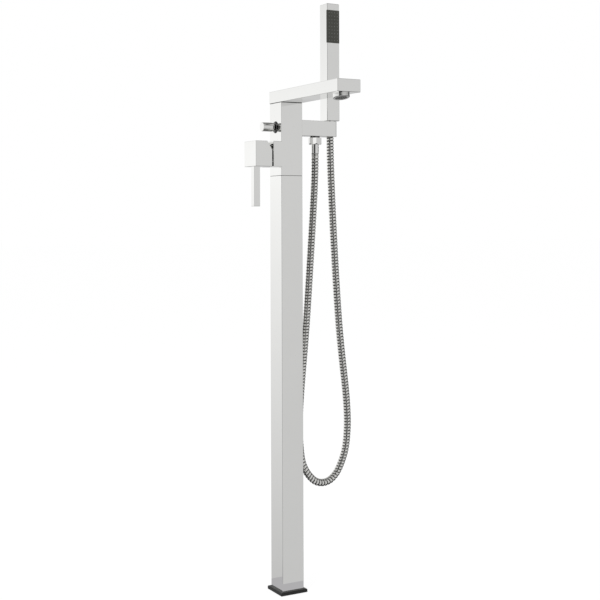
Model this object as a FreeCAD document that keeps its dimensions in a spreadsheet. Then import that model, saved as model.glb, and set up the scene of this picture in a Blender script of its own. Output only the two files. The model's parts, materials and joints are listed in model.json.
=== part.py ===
import FreeCAD, Part
import math
import os
import re
import Sketcher
from FreeCAD import Placement, Rotation, Vector

# Floor standing bath filler. Millimetres, +Z up, the floor is Z = 0 and the column's axis is X = Y = 0.
# The spout points along -Y, the mixer handle is on -X and the hose arm is on +X.

doc = FreeCAD.newDocument("bath_filler")

# ---------------------------------------------------------------- driving sizes

SIZES = {
    # column and foot
    "column_width": 45.0,
    "column_wall": 1.5,
    "column_length": 773.0,
    "column_edge": 0.9,
    "gasket_width": 55.0,
    "gasket_thickness": 6.0,
    "gasket_chamfer": 1.0,
    "supply_slot_width": 17.6,
    "supply_slot_length": 35.0,
    "floor_hole_pitch_x": 27.0,
    "floor_hole_pitch_y": 31.0,
    "floor_hole_radius": 2.5,
    "bracket_plate": 4.0,
    "bracket_wall": 3.0,
    "bracket_height": 36.0,
    "bracket_gap": 0.3,
    "foot_screw_rise": 22.0,
    "screw_pitch": 20.0,
    "screw_radius": 2.0,
    "screw_head_radius": 3.6,
    "screw_head_height": 1.6,
    "screw_clearance": 0.2,
    # supply tails
    "tail_pitch": 17.5,
    "tail_radius": 6.0,
    "tail_bore": 4.0,
    "tail_thread": 4.5,
    "tail_thread_length": 11.0,
    "tail_nut_width": 19.0,
    "tail_nut_height": 14.0,
    "tail_nut_bore": 7.5,
    "tail_nut_lip": 2.0,
    "tail_nut_thread": 8.5,
    "tail_nut_relief": 8.0,
    "tail_collar": 1.5,
    "tail_collar_gap": 0.1,
    "tail_pipe_bore": 3.0,
    "cold_nut_rise": 16.0,
    "nut_stagger": 18.0,
    # valve body
    "seal_thickness": 0.8,
    "seal_inset": 0.5,
    "post_height": 135.4,
    "body_edge": 0.7,
    "spigot_length": 25.0,
    "spigot_gap": 0.2,
    "spigot_wall": 4.0,
    "spigot_screw_drop": 12.0,
    "inlet_rise": 5.0,
    "inlet_channel": 3.5,
    "inlet_offset": 8.0,
    "water_channel": 5.0,
    # mixer housing and cartridge
    "mixer_height": 39.5,
    "mixer_width": 47.0,
    "housing_reach": 16.6,
    "cartridge_radius": 17.5,
    "cartridge_length": 21.0,
    "cartridge_gap": 0.3,
    "port_seal": 1.0,
    "port_seal_wall": 1.3,
    "port_depth": 6.0,
    "nut_seat": 0.1,
    "outlet_port_rise": 9.5,
    "nut_radius": 20.0,
    "nut_depth": 6.0,
    "nut_bore_gap": 0.6,
    "cover_gap": 0.2,
    "cover_radius": 18.0,
    "cover_reach": 7.4,
    "dome_radius": 19.2,
    "neck_radius": 12.0,
    "neck_recess": 4.0,
    "running_gap": 0.05,
    # handle
    "handle_gap": 2.7,
    "handle_depth": 34.2,
    "pivot_reach": 7.2,
    "pivot_pin": 1.5,
    "pin_inset": 1.0,
    "neck_end": 4.0,
    "recess_radius": 20.0,
    "recess_depth": 17.2,
    "bevel_depth": 10.1,
    "bevel_height": 16.0,
    "spindle_width": 8.0,
    "spindle_grip": 12.0,
    "spindle_tail": 11.0,
    "spindle_tail_height": 6.0,
    "slot_gap": 0.2,
    "slot_height": 16.0,
    "slot_depth": 13.0,
    "lever_width": 12.5,
    "lever_length": 73.6,
    "lever_inset": 5.2,
    "stud_radius": 4.0,
    "stud_length": 9.0,
    "grub_radius": 2.5,
    "grub_length": 8.0,
    "plug_radius": 4.0,
    "plug_depth": 2.0,
    # diverter
    "diverter_height": 90.5,
    "diverter_bore": 9.0,
    "diverter_chamber": 36.5,
    "flange_radius": 11.3,
    "flange_front_radius": 8.8,
    "flange_thickness": 3.0,
    "bush_length": 16.5,
    "gland_radius": 5.0,
    "gland_depth": 3.0,
    "stem_radius": 2.5,
    "knob_radius": 8.5,
    "knob_length": 25.0,
    "knob_neck": 0.8,
    "knob_grip": 14.0,
    "knob_round": 5.6,
    "knob_rim": 0.7,
    "plunger_radius": 7.5,
    "plunger_thickness": 4.0,
    "plunger_gap": 1.0,
    "spring_radius": 4.0,
    "spring_wire": 0.8,
    "spring_turns": 6.0,
    # arm, outlet and fork
    "arm_width": 28.0,
    "arm_height": 29.4,
    "arm_reach": 81.5,
    "arm_corner": 4.0,
    "outlet_reach": 62.5,
    "holder_pitch": 33.5,
    "nipple_thread": 9.0,
    "nipple_depth": 10.0,
    "nipple_bore": 5.0,
    "outlet_neck": 9.3,
    "outlet_neck_height": 2.6,
    "hose_thread": 10.3,
    "hose_thread_length": 7.6,
    "valve_radius": 7.0,
    "valve_length": 8.0,
    "valve_bore": 3.0,
    "hose_nut_width": 23.0,
    "hose_nut_turn": 12.5,
    "nut_lip": 2.0,
    "nut_crown": 0.2,
    "hose_washer": 1.5,
    "ferrule_radius": 7.4,
    "ferrule_length": 19.5,
    "ferrule_flange": 1.5,
    "ferrule_bore": 4.5,
    "fork_gap": 1.3,
    "seat_rise": 4.3,
    "seat_gap": 0.3,
    "cone_small": 9.6,
    "cone_large": 12.0,
    "cone_height": 12.0,
    "cone_nut_height": 24.5,
    "cone_lip": 8.0,
    "lower_ferrule_drop": 2.0,
    "flange_gap": 0.3,
    # hose
    "hose_radius": 7.0,
    "hose_bore": 4.5,
    "rib_depth": 0.7,
    "rib_free_end": 3.0,
    # handset
    "handset_gap": 0.9,
    "handset_width": 27.4,
    "handset_length": 224.2,
    "handset_edge": 1.2,
    "handset_wall": 2.0,
    "handset_floor": 14.0,
    "handset_top": 4.0,
    "inlet_grip": 6.0,
    "water_tube": 6.0,
    "water_tube_bore": 4.5,
    "inlet_bore": 3.5,
    "plate_drop": 13.0,
    "plate_length": 62.0,
    "plate_thickness": 2.5,
    "plate_gap": 0.2,
    "plate_bevel": 2.2,
    "nozzle_radius": 1.1,
    "nozzle_proud": 0.6,
    "nozzle_pitch_x": 6.0,
    "nozzle_pitch_z": 6.6,
    # spout and aerator
    "spout_overhang": 0.75,
    "spout_thickness": 22.2,
    "spout_reach": 203.3,
    "spout_edge": 0.9,
    "spout_floor": 12.0,
    "spout_roof": 4.2,
    "waterway_width": 30.0,
    "waterway_back": 12.0,
    "spout_end_wall": 8.0,
    "nipple_radius": 10.0,
    "nipple_gap": 0.2,
    "spout_nipple_bore": 7.0,
    "spout_nipple_low": 11.0,
    "spout_nipple_high": 9.0,
    "ring_wire": 1.6,
    "ring_rise": 3.0,
    "spout_screw_rise": 6.8,
    "spout_screw_sink": 1.5,
    "aerator_inset": 27.5,
    "aerator_radius": 14.8,
    "aerator_tilt": 12.0,
    "aerator_drop": 8.4,
    "aerator_shoulder": 3.6,
    "aerator_edge": 1.2,
    "aerator_thread": 12.0,
    "aerator_thread_length": 8.0,
    "aerator_inlet_reach": 3.4,
    "aerator_lip": 1.2,
    "insert_radius": 11.0,
    "insert_ledge": 0.6,
    "washer_lip": 1.0,
    "insert_length": 10.0,
    "insert_hole": 1.3,
    "insert_pitch": 4.0,
    "aerator_washer": 1.0,
}

# Places worked out from the sizes, in the order that they build on each other.
PLACES = {
    "column_half": "column_width / 2",
    "column_inside": "column_half - column_wall",
    "bracket_half": "column_inside - bracket_gap",
    "bracket_level": "gasket_thickness + bracket_plate",
    "column_top": "gasket_thickness + column_length",
    "post_base": "column_top + seal_thickness",
    "post_top": "post_base + post_height",
    "spigot_half": "column_inside - spigot_gap",
    "spigot_base": "post_base - spigot_length",
    "inlet_level": "post_base + inlet_rise",
    "inlet_top": "inlet_level + tail_thread_length",
    "tail_y": "tail_pitch / 2",
    "mixer_z": "post_base + mixer_height",
    "mixer_half": "mixer_width / 2",
    "inlet_z": "mixer_z - inlet_offset",
    "outlet_z": "mixer_z + outlet_port_rise",
    "housing_face": "-column_half - housing_reach",
    "cover_back": "housing_face + nut_depth + nut_seat",
    "nut_back": "cover_back + nut_depth",
    "cartridge_base": "nut_back + cartridge_length",
    "chamber_floor": "cartridge_base + port_seal",
    "cover_end": "housing_face - cover_reach",
    "handle_inner": "housing_face - handle_gap",
    "handle_outer": "handle_inner - handle_depth",
    "pivot_x": "handle_inner - pivot_reach",
    "neck_tip": "pivot_x - neck_end",
    "recess_floor": "handle_inner - recess_depth",
    "grip_end": "recess_floor - spindle_grip",
    "grub_x": "recess_floor - spindle_grip / 2",
    "lever_x": "handle_outer + lever_inset + lever_width / 2",
    "lever_top": "mixer_z - mixer_half",
    "lever_end": "lever_top - lever_length",
    "diverter_z": "post_base + diverter_height",
    "chamber_end": "-column_half + diverter_chamber",
    "flange_face": "-column_half - flange_thickness",
    "bush_end": "-column_half + bush_length",
    "knob_inner": "flange_face - knob_neck",
    "knob_outer": "knob_inner - knob_length",
    "plunger_front": "chamber_end - plunger_gap",
    "plunger_back": "plunger_front - plunger_thickness",
    "arm_end": "column_half + arm_reach",
    "arm_under": "diverter_z - arm_height / 2",
    "arm_over": "diverter_z + arm_height / 2",
    "holder_x": "outlet_reach + holder_pitch",
    "neck_under": "arm_under - outlet_neck_height",
    "nipple_end": "neck_under - hose_thread_length",
    "washer_under": "nipple_end - hose_washer",
    "flange_under": "washer_under - ferrule_flange",
    "hose_nut_under": "flange_under - nut_lip",
    "hose_start": "flange_under - ferrule_length",
    "seat_level": "arm_under + seat_rise",
    "hose_finish": "seat_level - lower_ferrule_drop",
    "cone_nut_top": "seat_level + cone_nut_height",
    "cone_cavity": "seat_level + cone_lip",
    "inlet_end": "cone_cavity + ferrule_flange + hose_washer",
    "handset_base": "arm_over + handset_gap",
    "handset_half": "handset_width / 2",
    "handset_end": "handset_base + handset_length",
    "handset_hollow": "handset_base + handset_floor",
    "plate_high": "handset_end - plate_drop",
    "plate_low": "plate_high - plate_length",
    "plate_face": "-handset_half",
    "spout_under": "post_top + seal_thickness",
    "spout_over": "spout_under + spout_thickness",
    "spout_half": "column_half + spout_overhang",
    "spout_end": "-column_half - spout_reach",
    "waterway_low": "spout_under + spout_floor",
    "waterway_high": "spout_over - spout_roof",
    "aerator_y": "spout_end + aerator_inset",
    "aerator_under": "spout_under - aerator_drop",
    "shoulder_top": "spout_under + aerator_shoulder",
    "aerator_top": "spout_under + aerator_thread_length",
    "insert_under": "aerator_under + aerator_lip",
}

sheet = doc.addObject("Spreadsheet::Sheet", "Sizes")
for row, (alias, value) in enumerate(SIZES.items(), start=1):
    sheet.set(f"A{row}", alias.replace("_", " "))
    sheet.set(f"B{row}", str(value))
    sheet.setAlias(f"B{row}", alias)
places = doc.addObject("Spreadsheet::Sheet", "Places")


def bound(text):
    """An expression whose plain words are looked up in the two sheets."""
    def look_up(match):
        word = match.group()
        if word in SIZES:
            return f"Sizes.{word}"
        return f"Places.{word}" if word in PLACES else word
    return re.sub(r"[a-z]\w*", look_up, str(text))


for row, (alias, formula) in enumerate(PLACES.items(), start=1):
    places.set(f"A{row}", alias.replace("_", " "))
    places.setAlias(f"B{row}", alias)
    places.set(f"B{row}", "=" + bound(formula).replace("Places.", ""))
doc.recompute()


def size(text):
    """The number of millimetres that an expression stands for at present."""
    return float(sheet.evalExpression(bound(text)))


# ---------------------------------------------------------------- primitives

AXIS_TURN = {
    "x": Rotation(Vector(0, 1, 0), 90),
    "y": Rotation(Vector(1, 0, 0), -90),
    "z": Rotation(),
}
ACROSS = {"x": "yz", "y": "xz", "z": "xy"}
nodes = []


def node(item, label):
    """Marks a finished piece: its label names its file."""
    item.Label = label
    nodes.append(item)
    return item


def bind(item, **expressions):
    for prop, text in expressions.items():
        item.setExpression(prop, bound(text))


def stand(item, axis, at, low):
    """Lays a primitive along an axis; `at` holds its other two coordinates in X, Y, Z order."""
    item.Placement = Placement(Vector(), AXIS_TURN[axis])
    for letter, text in zip(ACROSS[axis] + axis, (*at, low)):
        item.setExpression(f"Placement.Base.{letter}", bound(text))


def bar(name, x, y, z):
    """A square-edged bar between three pairs of coordinates."""
    item = doc.addObject("Part::Box", name)
    for prop, letter, (low, high) in zip(("Length", "Width", "Height"), "xyz", (x, y, z)):
        item.setExpression(prop, bound(f"({high}) - ({low})"))
        item.setExpression(f"Placement.Base.{letter}", bound(low))
    return item


def rod(name, axis, at, span, radius):
    """A round bar along an axis."""
    item = doc.addObject("Part::Cylinder", name)
    bind(item, Radius=radius, Height=f"({span[1]}) - ({span[0]})")
    stand(item, axis, at, span[0])
    return item


def taper(name, axis, at, span, radii):
    """A cone along an axis, with the radius at its low end first."""
    item = doc.addObject("Part::Cone", name)
    bind(item, Radius1=radii[0], Radius2=radii[1], Height=f"({span[1]}) - ({span[0]})")
    stand(item, axis, at, span[0])
    return item


def hexagon(name, at, span, width):
    """An upright hexagon bar of a width across flats."""
    item = doc.addObject("Part::Prism", name)
    item.Polygon = 6
    bind(item, Circumradius=f"({width}) / sqrt(3)", Height=f"({span[1]}) - ({span[0]})")
    stand(item, "z", at, span[0])
    return item


def doughnut(name, at, level, radius, wire):
    """An O-ring that lies flat."""
    item = doc.addObject("Part::Torus", name)
    bind(item, Radius1=radius, Radius2=f"({wire}) / 2")
    stand(item, "z", at, level)
    return item


def fuse(name, *parts):
    item = doc.addObject("Part::MultiFuse", name)
    item.Shapes = list(parts)
    item.Refine = True
    return item


def group(name, *parts):
    """Separate solids that share one node."""
    item = doc.addObject("Part::Compound", name)
    item.Links = list(parts)
    return item


def tilted(name, *parts):
    """Upright pieces of the aerator, turned so that its mouth looks down and forward."""
    item = group(name, *parts)
    item.Placement = Placement(Vector(), Rotation(Vector(-1, 0, 0), size("aerator_tilt")))
    lean = "aerator_tilt * 1 deg"
    item.setExpression("Placement.Rotation.Angle", bound(lean))
    item.setExpression("Placement.Base.y", bound(f"aerator_y * (1 - cos({lean})) - spout_under * sin({lean})"))
    item.setExpression("Placement.Base.z", bound(f"spout_under * (1 - cos({lean})) + aerator_y * sin({lean})"))
    return item


def cut(name, base, *tools):
    item = doc.addObject("Part::Cut", name)
    item.Base = base
    item.Tool = tools[0] if len(tools) == 1 else fuse(f"{name}_cutter", *tools)
    return item


def tube(name, axis, at, span, radius, bore):
    """A round tube along an axis."""
    return cut(name, rod(f"{name}_outside", axis, at, span, radius),
               rod(f"{name}_bore", axis, at, span, bore))


# ---------------------------------------------------------------- sketched bodies

# How an edge is recognised: its share of length along an axis, and its distance from a plane.
STRAIGHT = 0.999
NEAR = 0.01


def new_body(name):
    return doc.addObject("PartDesign::Body", name)


def new_sketch(body, role, level):
    """A sketch on one of the body's own planes, moved along the plane's normal to a level."""
    sketch = body.newObject("Sketcher::SketchObject", f"{body.Name}_sketch")
    plane = next(item for item in body.Origin.OriginFeatures if item.Role == role)
    sketch.AttachmentSupport = [(plane, "")]
    sketch.MapMode = "FlatFace"
    sketch.setExpression("AttachmentOffset.Base.z", bound(level))
    return sketch


def hold(sketch, kind, line, point, text):
    """A dimension from the sketch's origin to a point, bound to an expression."""
    index = sketch.addConstraint(Sketcher.Constraint(kind, -1, 1, line, point, size(text)))
    sketch.setExpression(f"Constraints[{index}]", bound(text))


def polygon(sketch, corners):
    """A closed outline through corners, each held by its two distances from the origin."""
    first = sketch.GeometryCount
    spots = [Vector(size(u), size(v), 0) for u, v in corners]
    for start, end in zip(spots, spots[1:] + spots[:1]):
        sketch.addGeometry(Part.LineSegment(start, end), False)
    for index in range(len(corners)):
        following = first + (index + 1) % len(corners)
        sketch.addConstraint(Sketcher.Constraint("Coincident", first + index, 2, following, 1))
    for index, (u, v) in enumerate(corners):
        hold(sketch, "DistanceX", first + index, 1, u)
        hold(sketch, "DistanceY", first + index, 1, v)


def rectangle(sketch, across, up):
    (left, right), (low, high) = across, up
    polygon(sketch, [(left, low), (right, low), (right, high), (left, high)])


def circle(sketch, u, v, radius):
    index = sketch.addGeometry(Part.Circle(Vector(size(u), size(v), 0), Vector(0, 0, 1), size(radius)), False)
    hold(sketch, "DistanceX", index, 3, u)
    hold(sketch, "DistanceY", index, 3, v)
    held = sketch.addConstraint(Sketcher.Constraint("Radius", index, size(radius)))
    sketch.setExpression(f"Constraints[{held}]", bound(radius))


def pad(body, sketch, length):
    """Adds along the sketch's normal."""
    feature = body.newObject("PartDesign::Pad", f"{body.Name}_pad")
    feature.Profile = sketch
    bind(feature, Length=length)
    doc.recompute()
    return feature


def pocket(body, sketch, length):
    """Removes along the sketch's normal, and checks that it did."""
    before = body.Tip.Shape.Volume
    feature = body.newObject("PartDesign::Pocket", f"{body.Name}_pocket")
    feature.Profile = sketch
    feature.Reversed = True
    bind(feature, Length=length)
    doc.recompute()
    if feature.Shape.Volume >= before:
        raise RuntimeError(f"{feature.Name} removes nothing")
    return feature


def named_edges(feature, wanted):
    return [f"Edge{number}" for number, edge in enumerate(feature.Shape.Edges, start=1) if wanted(edge)]


def soften(body, kind, amount, wanted):
    """A fillet or chamfer on the edges of the body's tip that a test picks."""
    base = body.Tip
    edges = named_edges(base, wanted)
    feature = body.newObject(f"PartDesign::{kind}", f"{body.Name}_{kind.lower()}")
    feature.Base = (base, edges)
    bind(feature, **{"Radius" if kind == "Fillet" else "Size": amount})
    doc.recompute()
    return feature


def along(edge, letter):
    """Whether an edge runs straight along an axis."""
    return getattr(edge.BoundBox, f"{letter.upper()}Length") > STRAIGHT * edge.Length


def at_place(edge, letter, text):
    """Whether an edge lies in a plane square to an axis."""
    box = edge.BoundBox
    low = getattr(box, f"{letter.upper()}Min")
    high = getattr(box, f"{letter.upper()}Max")
    return max(abs(low - size(text)), abs(high - size(text))) < NEAR


# ---------------------------------------------------------------- foot

def make_gasket():
    body = new_body("gasket_body")
    outline = new_sketch(body, "XY_Plane", "0")
    rectangle(outline, ("-gasket_width / 2", "gasket_width / 2"), ("-gasket_width / 2", "gasket_width / 2"))
    pad(body, outline, "gasket_thickness")
    soften(body, "Chamfer", "gasket_chamfer", lambda edge: at_place(edge, "z", "gasket_thickness"))
    cut_supply_slot(body, "0", "gasket_thickness")
    node(body, "floor_gasket")


def cut_supply_slot(body, level, depth):
    """The opening for the supply pipes, with the four screw holes round it."""
    slot = new_sketch(body, "XY_Plane", level)
    rectangle(slot, ("-supply_slot_width / 2", "supply_slot_width / 2"),
              ("-supply_slot_length / 2", "supply_slot_length / 2"))
    for side_x in ("-", ""):
        for side_y in ("-", ""):
            circle(slot, f"{side_x}floor_hole_pitch_x / 2", f"{side_y}floor_hole_pitch_y / 2",
                   "floor_hole_radius")
    pocket(body, slot, depth)


def make_bracket():
    body = new_body("bracket_body")
    outline = new_sketch(body, "XY_Plane", "gasket_thickness")
    rectangle(outline, ("-bracket_half", "bracket_half"), ("-bracket_half", "bracket_half"))
    pad(body, outline, "bracket_plate")
    walls = new_sketch(body, "XY_Plane", "bracket_level")
    across = ("-bracket_half + 2 * bracket_wall", "bracket_half - 2 * bracket_wall")
    rectangle(walls, ("-bracket_half", "-bracket_half + bracket_wall"), across)
    rectangle(walls, ("bracket_half - bracket_wall", "bracket_half"), across)
    pad(body, walls, "bracket_height")
    cut_supply_slot(body, "gasket_thickness", "bracket_plate")
    screws = new_sketch(body, "YZ_Plane", "bracket_half - bracket_wall")
    for side in ("-", ""):
        circle(screws, f"{side}screw_pitch / 2", "bracket_level + foot_screw_rise", "screw_radius")
    pocket(body, screws, "bracket_wall")
    node(body, "floor_bracket")


def make_column():
    body = new_body("column_body")
    outline = new_sketch(body, "XY_Plane", "gasket_thickness")
    rectangle(outline, ("-column_half", "column_half"), ("-column_half", "column_half"))
    pad(body, outline, "column_length")
    soften(body, "Fillet", "column_edge", lambda edge: along(edge, "z"))
    inside = new_sketch(body, "XY_Plane", "gasket_thickness")
    rectangle(inside, ("-column_inside", "column_inside"), ("-column_inside", "column_inside"))
    pocket(body, inside, "column_length")
    foot = new_sketch(body, "YZ_Plane", "column_inside")
    for side in ("-", ""):
        circle(foot, f"{side}screw_pitch / 2", "bracket_level + foot_screw_rise", "screw_radius + screw_clearance")
    pocket(body, foot, "column_wall")
    top = new_sketch(body, "XZ_Plane", "-column_half")
    for side in ("-", ""):
        circle(top, f"{side}screw_pitch / 2", "post_base - spigot_screw_drop", "screw_radius + screw_clearance")
    pocket(body, top, "column_wall")
    node(body, "column_tube")


def make_screws():
    """Two button-headed screws hold the foot and two hold the spigot, on the sides that face away."""
    foot, top = [], []
    for number, side in enumerate(("-", "")):
        place = (f"{side}screw_pitch / 2", "bracket_level + foot_screw_rise")
        shank = rod(f"foot_shank_{number}", "x", place, ("bracket_half - bracket_wall", "column_half"),
                    "screw_radius")
        head = rod(f"foot_head_{number}", "x", place, ("column_half", "column_half + screw_head_height"),
                   "screw_head_radius")
        foot.append(fuse(f"foot_screw_{number}", shank, head))
        place = (f"{side}screw_pitch / 2", "post_base - spigot_screw_drop")
        shank = rod(f"spigot_shank_{number}", "y", place, ("spigot_half - spigot_wall", "column_half"),
                    "screw_radius")
        head = rod(f"spigot_head_{number}", "y", place, ("column_half", "column_half + screw_head_height"),
                   "screw_head_radius")
        top.append(fuse(f"spigot_screw_{number}", shank, head))
    node(group("foot_screws", *foot), "column_screws")
    node(group("spigot_screws", *top), "spigot_fixing_screws")


def make_square_seal(name, level, half, opening):
    """A thin black seal whose edge sits back a little, so that it shows as a dark line."""
    plate = bar(f"{name}_plate", (f"-({half}) + seal_inset", f"({half}) - seal_inset"),
                (f"-({half}) + seal_inset", f"({half}) - seal_inset"), (level, f"{level} + seal_thickness"))
    node(cut(f"{name}_cut", plate, opening), name)


# ---------------------------------------------------------------- supply tails

def make_tail(name, y, nut_base):
    """A braided tail from its thread in the valve body down to the swivel nut in the foot."""
    at = ("0", y)
    lip = f"{nut_base} + tail_nut_height - tail_nut_lip"
    flange = f"{lip} - tail_collar"
    wide = "tail_nut_relief - tail_collar_gap"
    sleeve = rod(f"{name}_sleeve", "z", at, (flange, "inlet_level"), "tail_radius")
    collar = rod(f"{name}_collar", "z", at, (flange, lip), wide)
    thread = rod(f"{name}_thread", "z", at, ("inlet_level", "inlet_top"), "tail_thread")
    bore = rod(f"{name}_bore", "z", at, (flange, "inlet_top"), "tail_pipe_bore")
    node(cut(f"{name}_drilled", fuse(f"{name}_solid", sleeve, collar, thread), bore), name)
    nut = hexagon(f"{name}_hexagon", at, (nut_base, f"{nut_base} + tail_nut_height"), "tail_nut_width")
    mouth = rod(f"{name}_mouth", "z", at, (nut_base, f"{nut_base} + tail_nut_thread"), "tail_nut_bore")
    relief = rod(f"{name}_relief", "z", at, (f"{nut_base} + tail_nut_thread", lip), "tail_nut_relief")
    throat = rod(f"{name}_throat", "z", at, (nut_base, f"{nut_base} + tail_nut_height"), "tail_radius")
    node(cut(f"{name}_nut_drilled", nut, mouth, relief, throat), f"{name}_nut")
    return tube(f"{name}_washer", "z", at, (f"{flange} - tail_collar", flange), wide, "tail_bore")


def make_tails():
    hot = make_tail("hot_tail", "tail_y", "cold_nut_rise + nut_stagger")
    cold = make_tail("cold_tail", "-tail_y", "cold_nut_rise")
    node(group("washers_of_tails", hot, cold), "tail_washers")


# ---------------------------------------------------------------- valve body

def make_valve_body():
    """One casting: post, mixer housing, hose arm with its fork, and the spigot that enters the column."""
    body = new_body("casting_body")
    post = new_sketch(body, "XY_Plane", "post_base")
    rectangle(post, ("-column_half", "column_half"), ("-column_half", "column_half"))
    pad(body, post, "post_height")
    soften(body, "Fillet", "body_edge", lambda edge: along(edge, "z"))
    spigot = new_sketch(body, "XY_Plane", "spigot_base")
    rectangle(spigot, ("-spigot_half", "spigot_half"), ("-spigot_half", "spigot_half"))
    pad(body, spigot, "spigot_length")
    housing = new_sketch(body, "YZ_Plane", "housing_face")
    rectangle(housing, ("-mixer_half", "mixer_half"), ("mixer_z - mixer_half", "mixer_z + mixer_half"))
    pad(body, housing, "housing_reach + body_edge")
    soften(body, "Fillet", "body_edge", lambda edge: at_place(edge, "x", "housing_face")
           or (along(edge, "x") and edge.BoundBox.XMin < size("housing_face") + 1))
    arm = new_sketch(body, "YZ_Plane", "column_half - body_edge")
    rectangle(arm, ("-arm_width / 2", "arm_width / 2"), ("arm_under", "arm_over"))
    pad(body, arm, "arm_reach + body_edge")
    soften(body, "Fillet", "arm_corner", lambda edge: along(edge, "z") and at_place(edge, "x", "arm_end"))
    soften(body, "Fillet", "body_edge", lambda edge: edge.BoundBox.XMax > size("column_half + 1")
           and (at_place(edge, "z", "arm_under") or at_place(edge, "z", "arm_over")))
    inner = "spigot_half - spigot_wall"
    tools = [bar("spigot_hollow", (f"-({inner})", inner), (f"-({inner})", inner),
                 ("spigot_base", "inlet_level"))]
    for number, side in enumerate(("-", "")):
        tools += [
            rod(f"inlet_thread_{number}", "z", ("0", f"{side}tail_y"), ("inlet_level", "inlet_top"),
                "tail_thread"),
            rod(f"inlet_rise_{number}", "z", ("0", f"{side}tail_y"), ("inlet_top", "inlet_z"),
                "inlet_channel"),
            rod(f"inlet_port_{number}", "x", (f"{side}tail_y", "inlet_z"), ("chamber_floor", "0"),
                "inlet_channel"),
            rod(f"spigot_hole_{number}", "y", (f"{side}screw_pitch / 2", "post_base - spigot_screw_drop"),
                (inner, "spigot_half"), "screw_radius"),
        ]
    mixer, diverter = ("0", "mixer_z"), ("0", "diverter_z")
    outlet, holder = ("outlet_reach", "0"), ("holder_x", "0")
    tools += [
        rod("cartridge_chamber", "x", mixer, ("housing_face", "chamber_floor"),
            "cartridge_radius + cartridge_gap"),
        rod("nut_chamber", "x", mixer, ("housing_face", "nut_back"), "nut_radius"),
        rod("mixed_port", "x", ("0", "outlet_z"), ("chamber_floor", "0"), "inlet_channel"),
        rod("mixed_rise", "z", ("0", "0"), ("outlet_z", "diverter_z"), "inlet_channel"),
        rod("diverter_chamber_tool", "x", diverter, ("-column_half", "chamber_end"), "diverter_bore"),
        rod("arm_channel", "x", diverter, ("chamber_end", "outlet_reach"), "water_channel"),
        rod("spout_channel", "z", ("0", "0"), ("diverter_z", "post_top"), "spout_nipple_bore"),
        rod("spout_thread", "z", ("0", "0"), ("post_top - spout_nipple_low", "post_top"), "nipple_radius"),
        rod("outlet_thread", "z", outlet, ("arm_under", "arm_under + nipple_depth"), "nipple_thread"),
        rod("outlet_channel", "z", outlet, ("arm_under", "diverter_z"), "water_channel"),
        rod("fork_round", "z", holder, ("arm_under", "arm_over"), "hose_radius + fork_gap"),
        bar("fork_slot", ("holder_x", "arm_end"), ("-hose_radius - fork_gap", "hose_radius + fork_gap"),
            ("arm_under", "arm_over")),
        taper("fork_seat", "z", holder, ("seat_level", "seat_level + cone_height"),
              ("cone_small + seat_gap", "cone_large + seat_gap")),
        rod("fork_mouth", "z", holder, ("seat_level + cone_height", "arm_over"), "cone_large + seat_gap"),
    ]
    node(cut("casting", body, *tools), "valve_body")


# ---------------------------------------------------------------- mixer cartridge

def make_cartridge():
    mixer = ("0", "mixer_z")
    ports = [("tail_y", "inlet_z"), ("-tail_y", "inlet_z"), ("0", "outlet_z")]
    barrel = rod("cartridge_barrel", "x", mixer, ("nut_back", "cartridge_base"), "cartridge_radius")
    recess = rod("cartridge_recess", "x", mixer, ("nut_back", "nut_back + neck_recess"),
                 "neck_radius + running_gap")
    drilled = [rod(f"cartridge_port_{number}", "x", place, ("cartridge_base - port_depth", "cartridge_base"),
                   "inlet_channel") for number, place in enumerate(ports)]
    node(cut("cartridge_drilled", barrel, recess, *drilled), "mixing_cartridge")
    rings = [tube(f"port_ring_{number}", "x", place, ("cartridge_base", "chamber_floor"),
                  "inlet_channel + port_seal_wall", "inlet_channel") for number, place in enumerate(ports)]
    node(group("port_rings", *rings), "cartridge_seals")
    bore = "neck_radius + nut_bore_gap"
    node(tube("retaining_nut", "x", mixer, ("cover_back", "nut_back"), "nut_radius", bore), "cartridge_nut")
    skirt = rod("cover_skirt", "x", mixer, ("housing_face", "cover_back"), "nut_radius - cover_gap")
    ball = doc.addObject("Part::Sphere", "cover_ball")
    bind(ball, Radius="dome_radius")
    stand(ball, "z", ("housing_face + sqrt(dome_radius * dome_radius - cover_radius * cover_radius)", "0"),
          "mixer_z")
    blank = rod("cover_blank", "x", mixer, ("cover_end", "housing_face"), "cover_radius")
    dome = doc.addObject("Part::Common", "cover_dome")
    dome.Base = ball
    dome.Tool = blank
    hole = rod("cover_hole", "x", mixer, ("cover_end", "cover_back"), bore)
    node(cut("cover_bored", fuse("cover_solid", skirt, dome), hole), "cartridge_cover")


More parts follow.
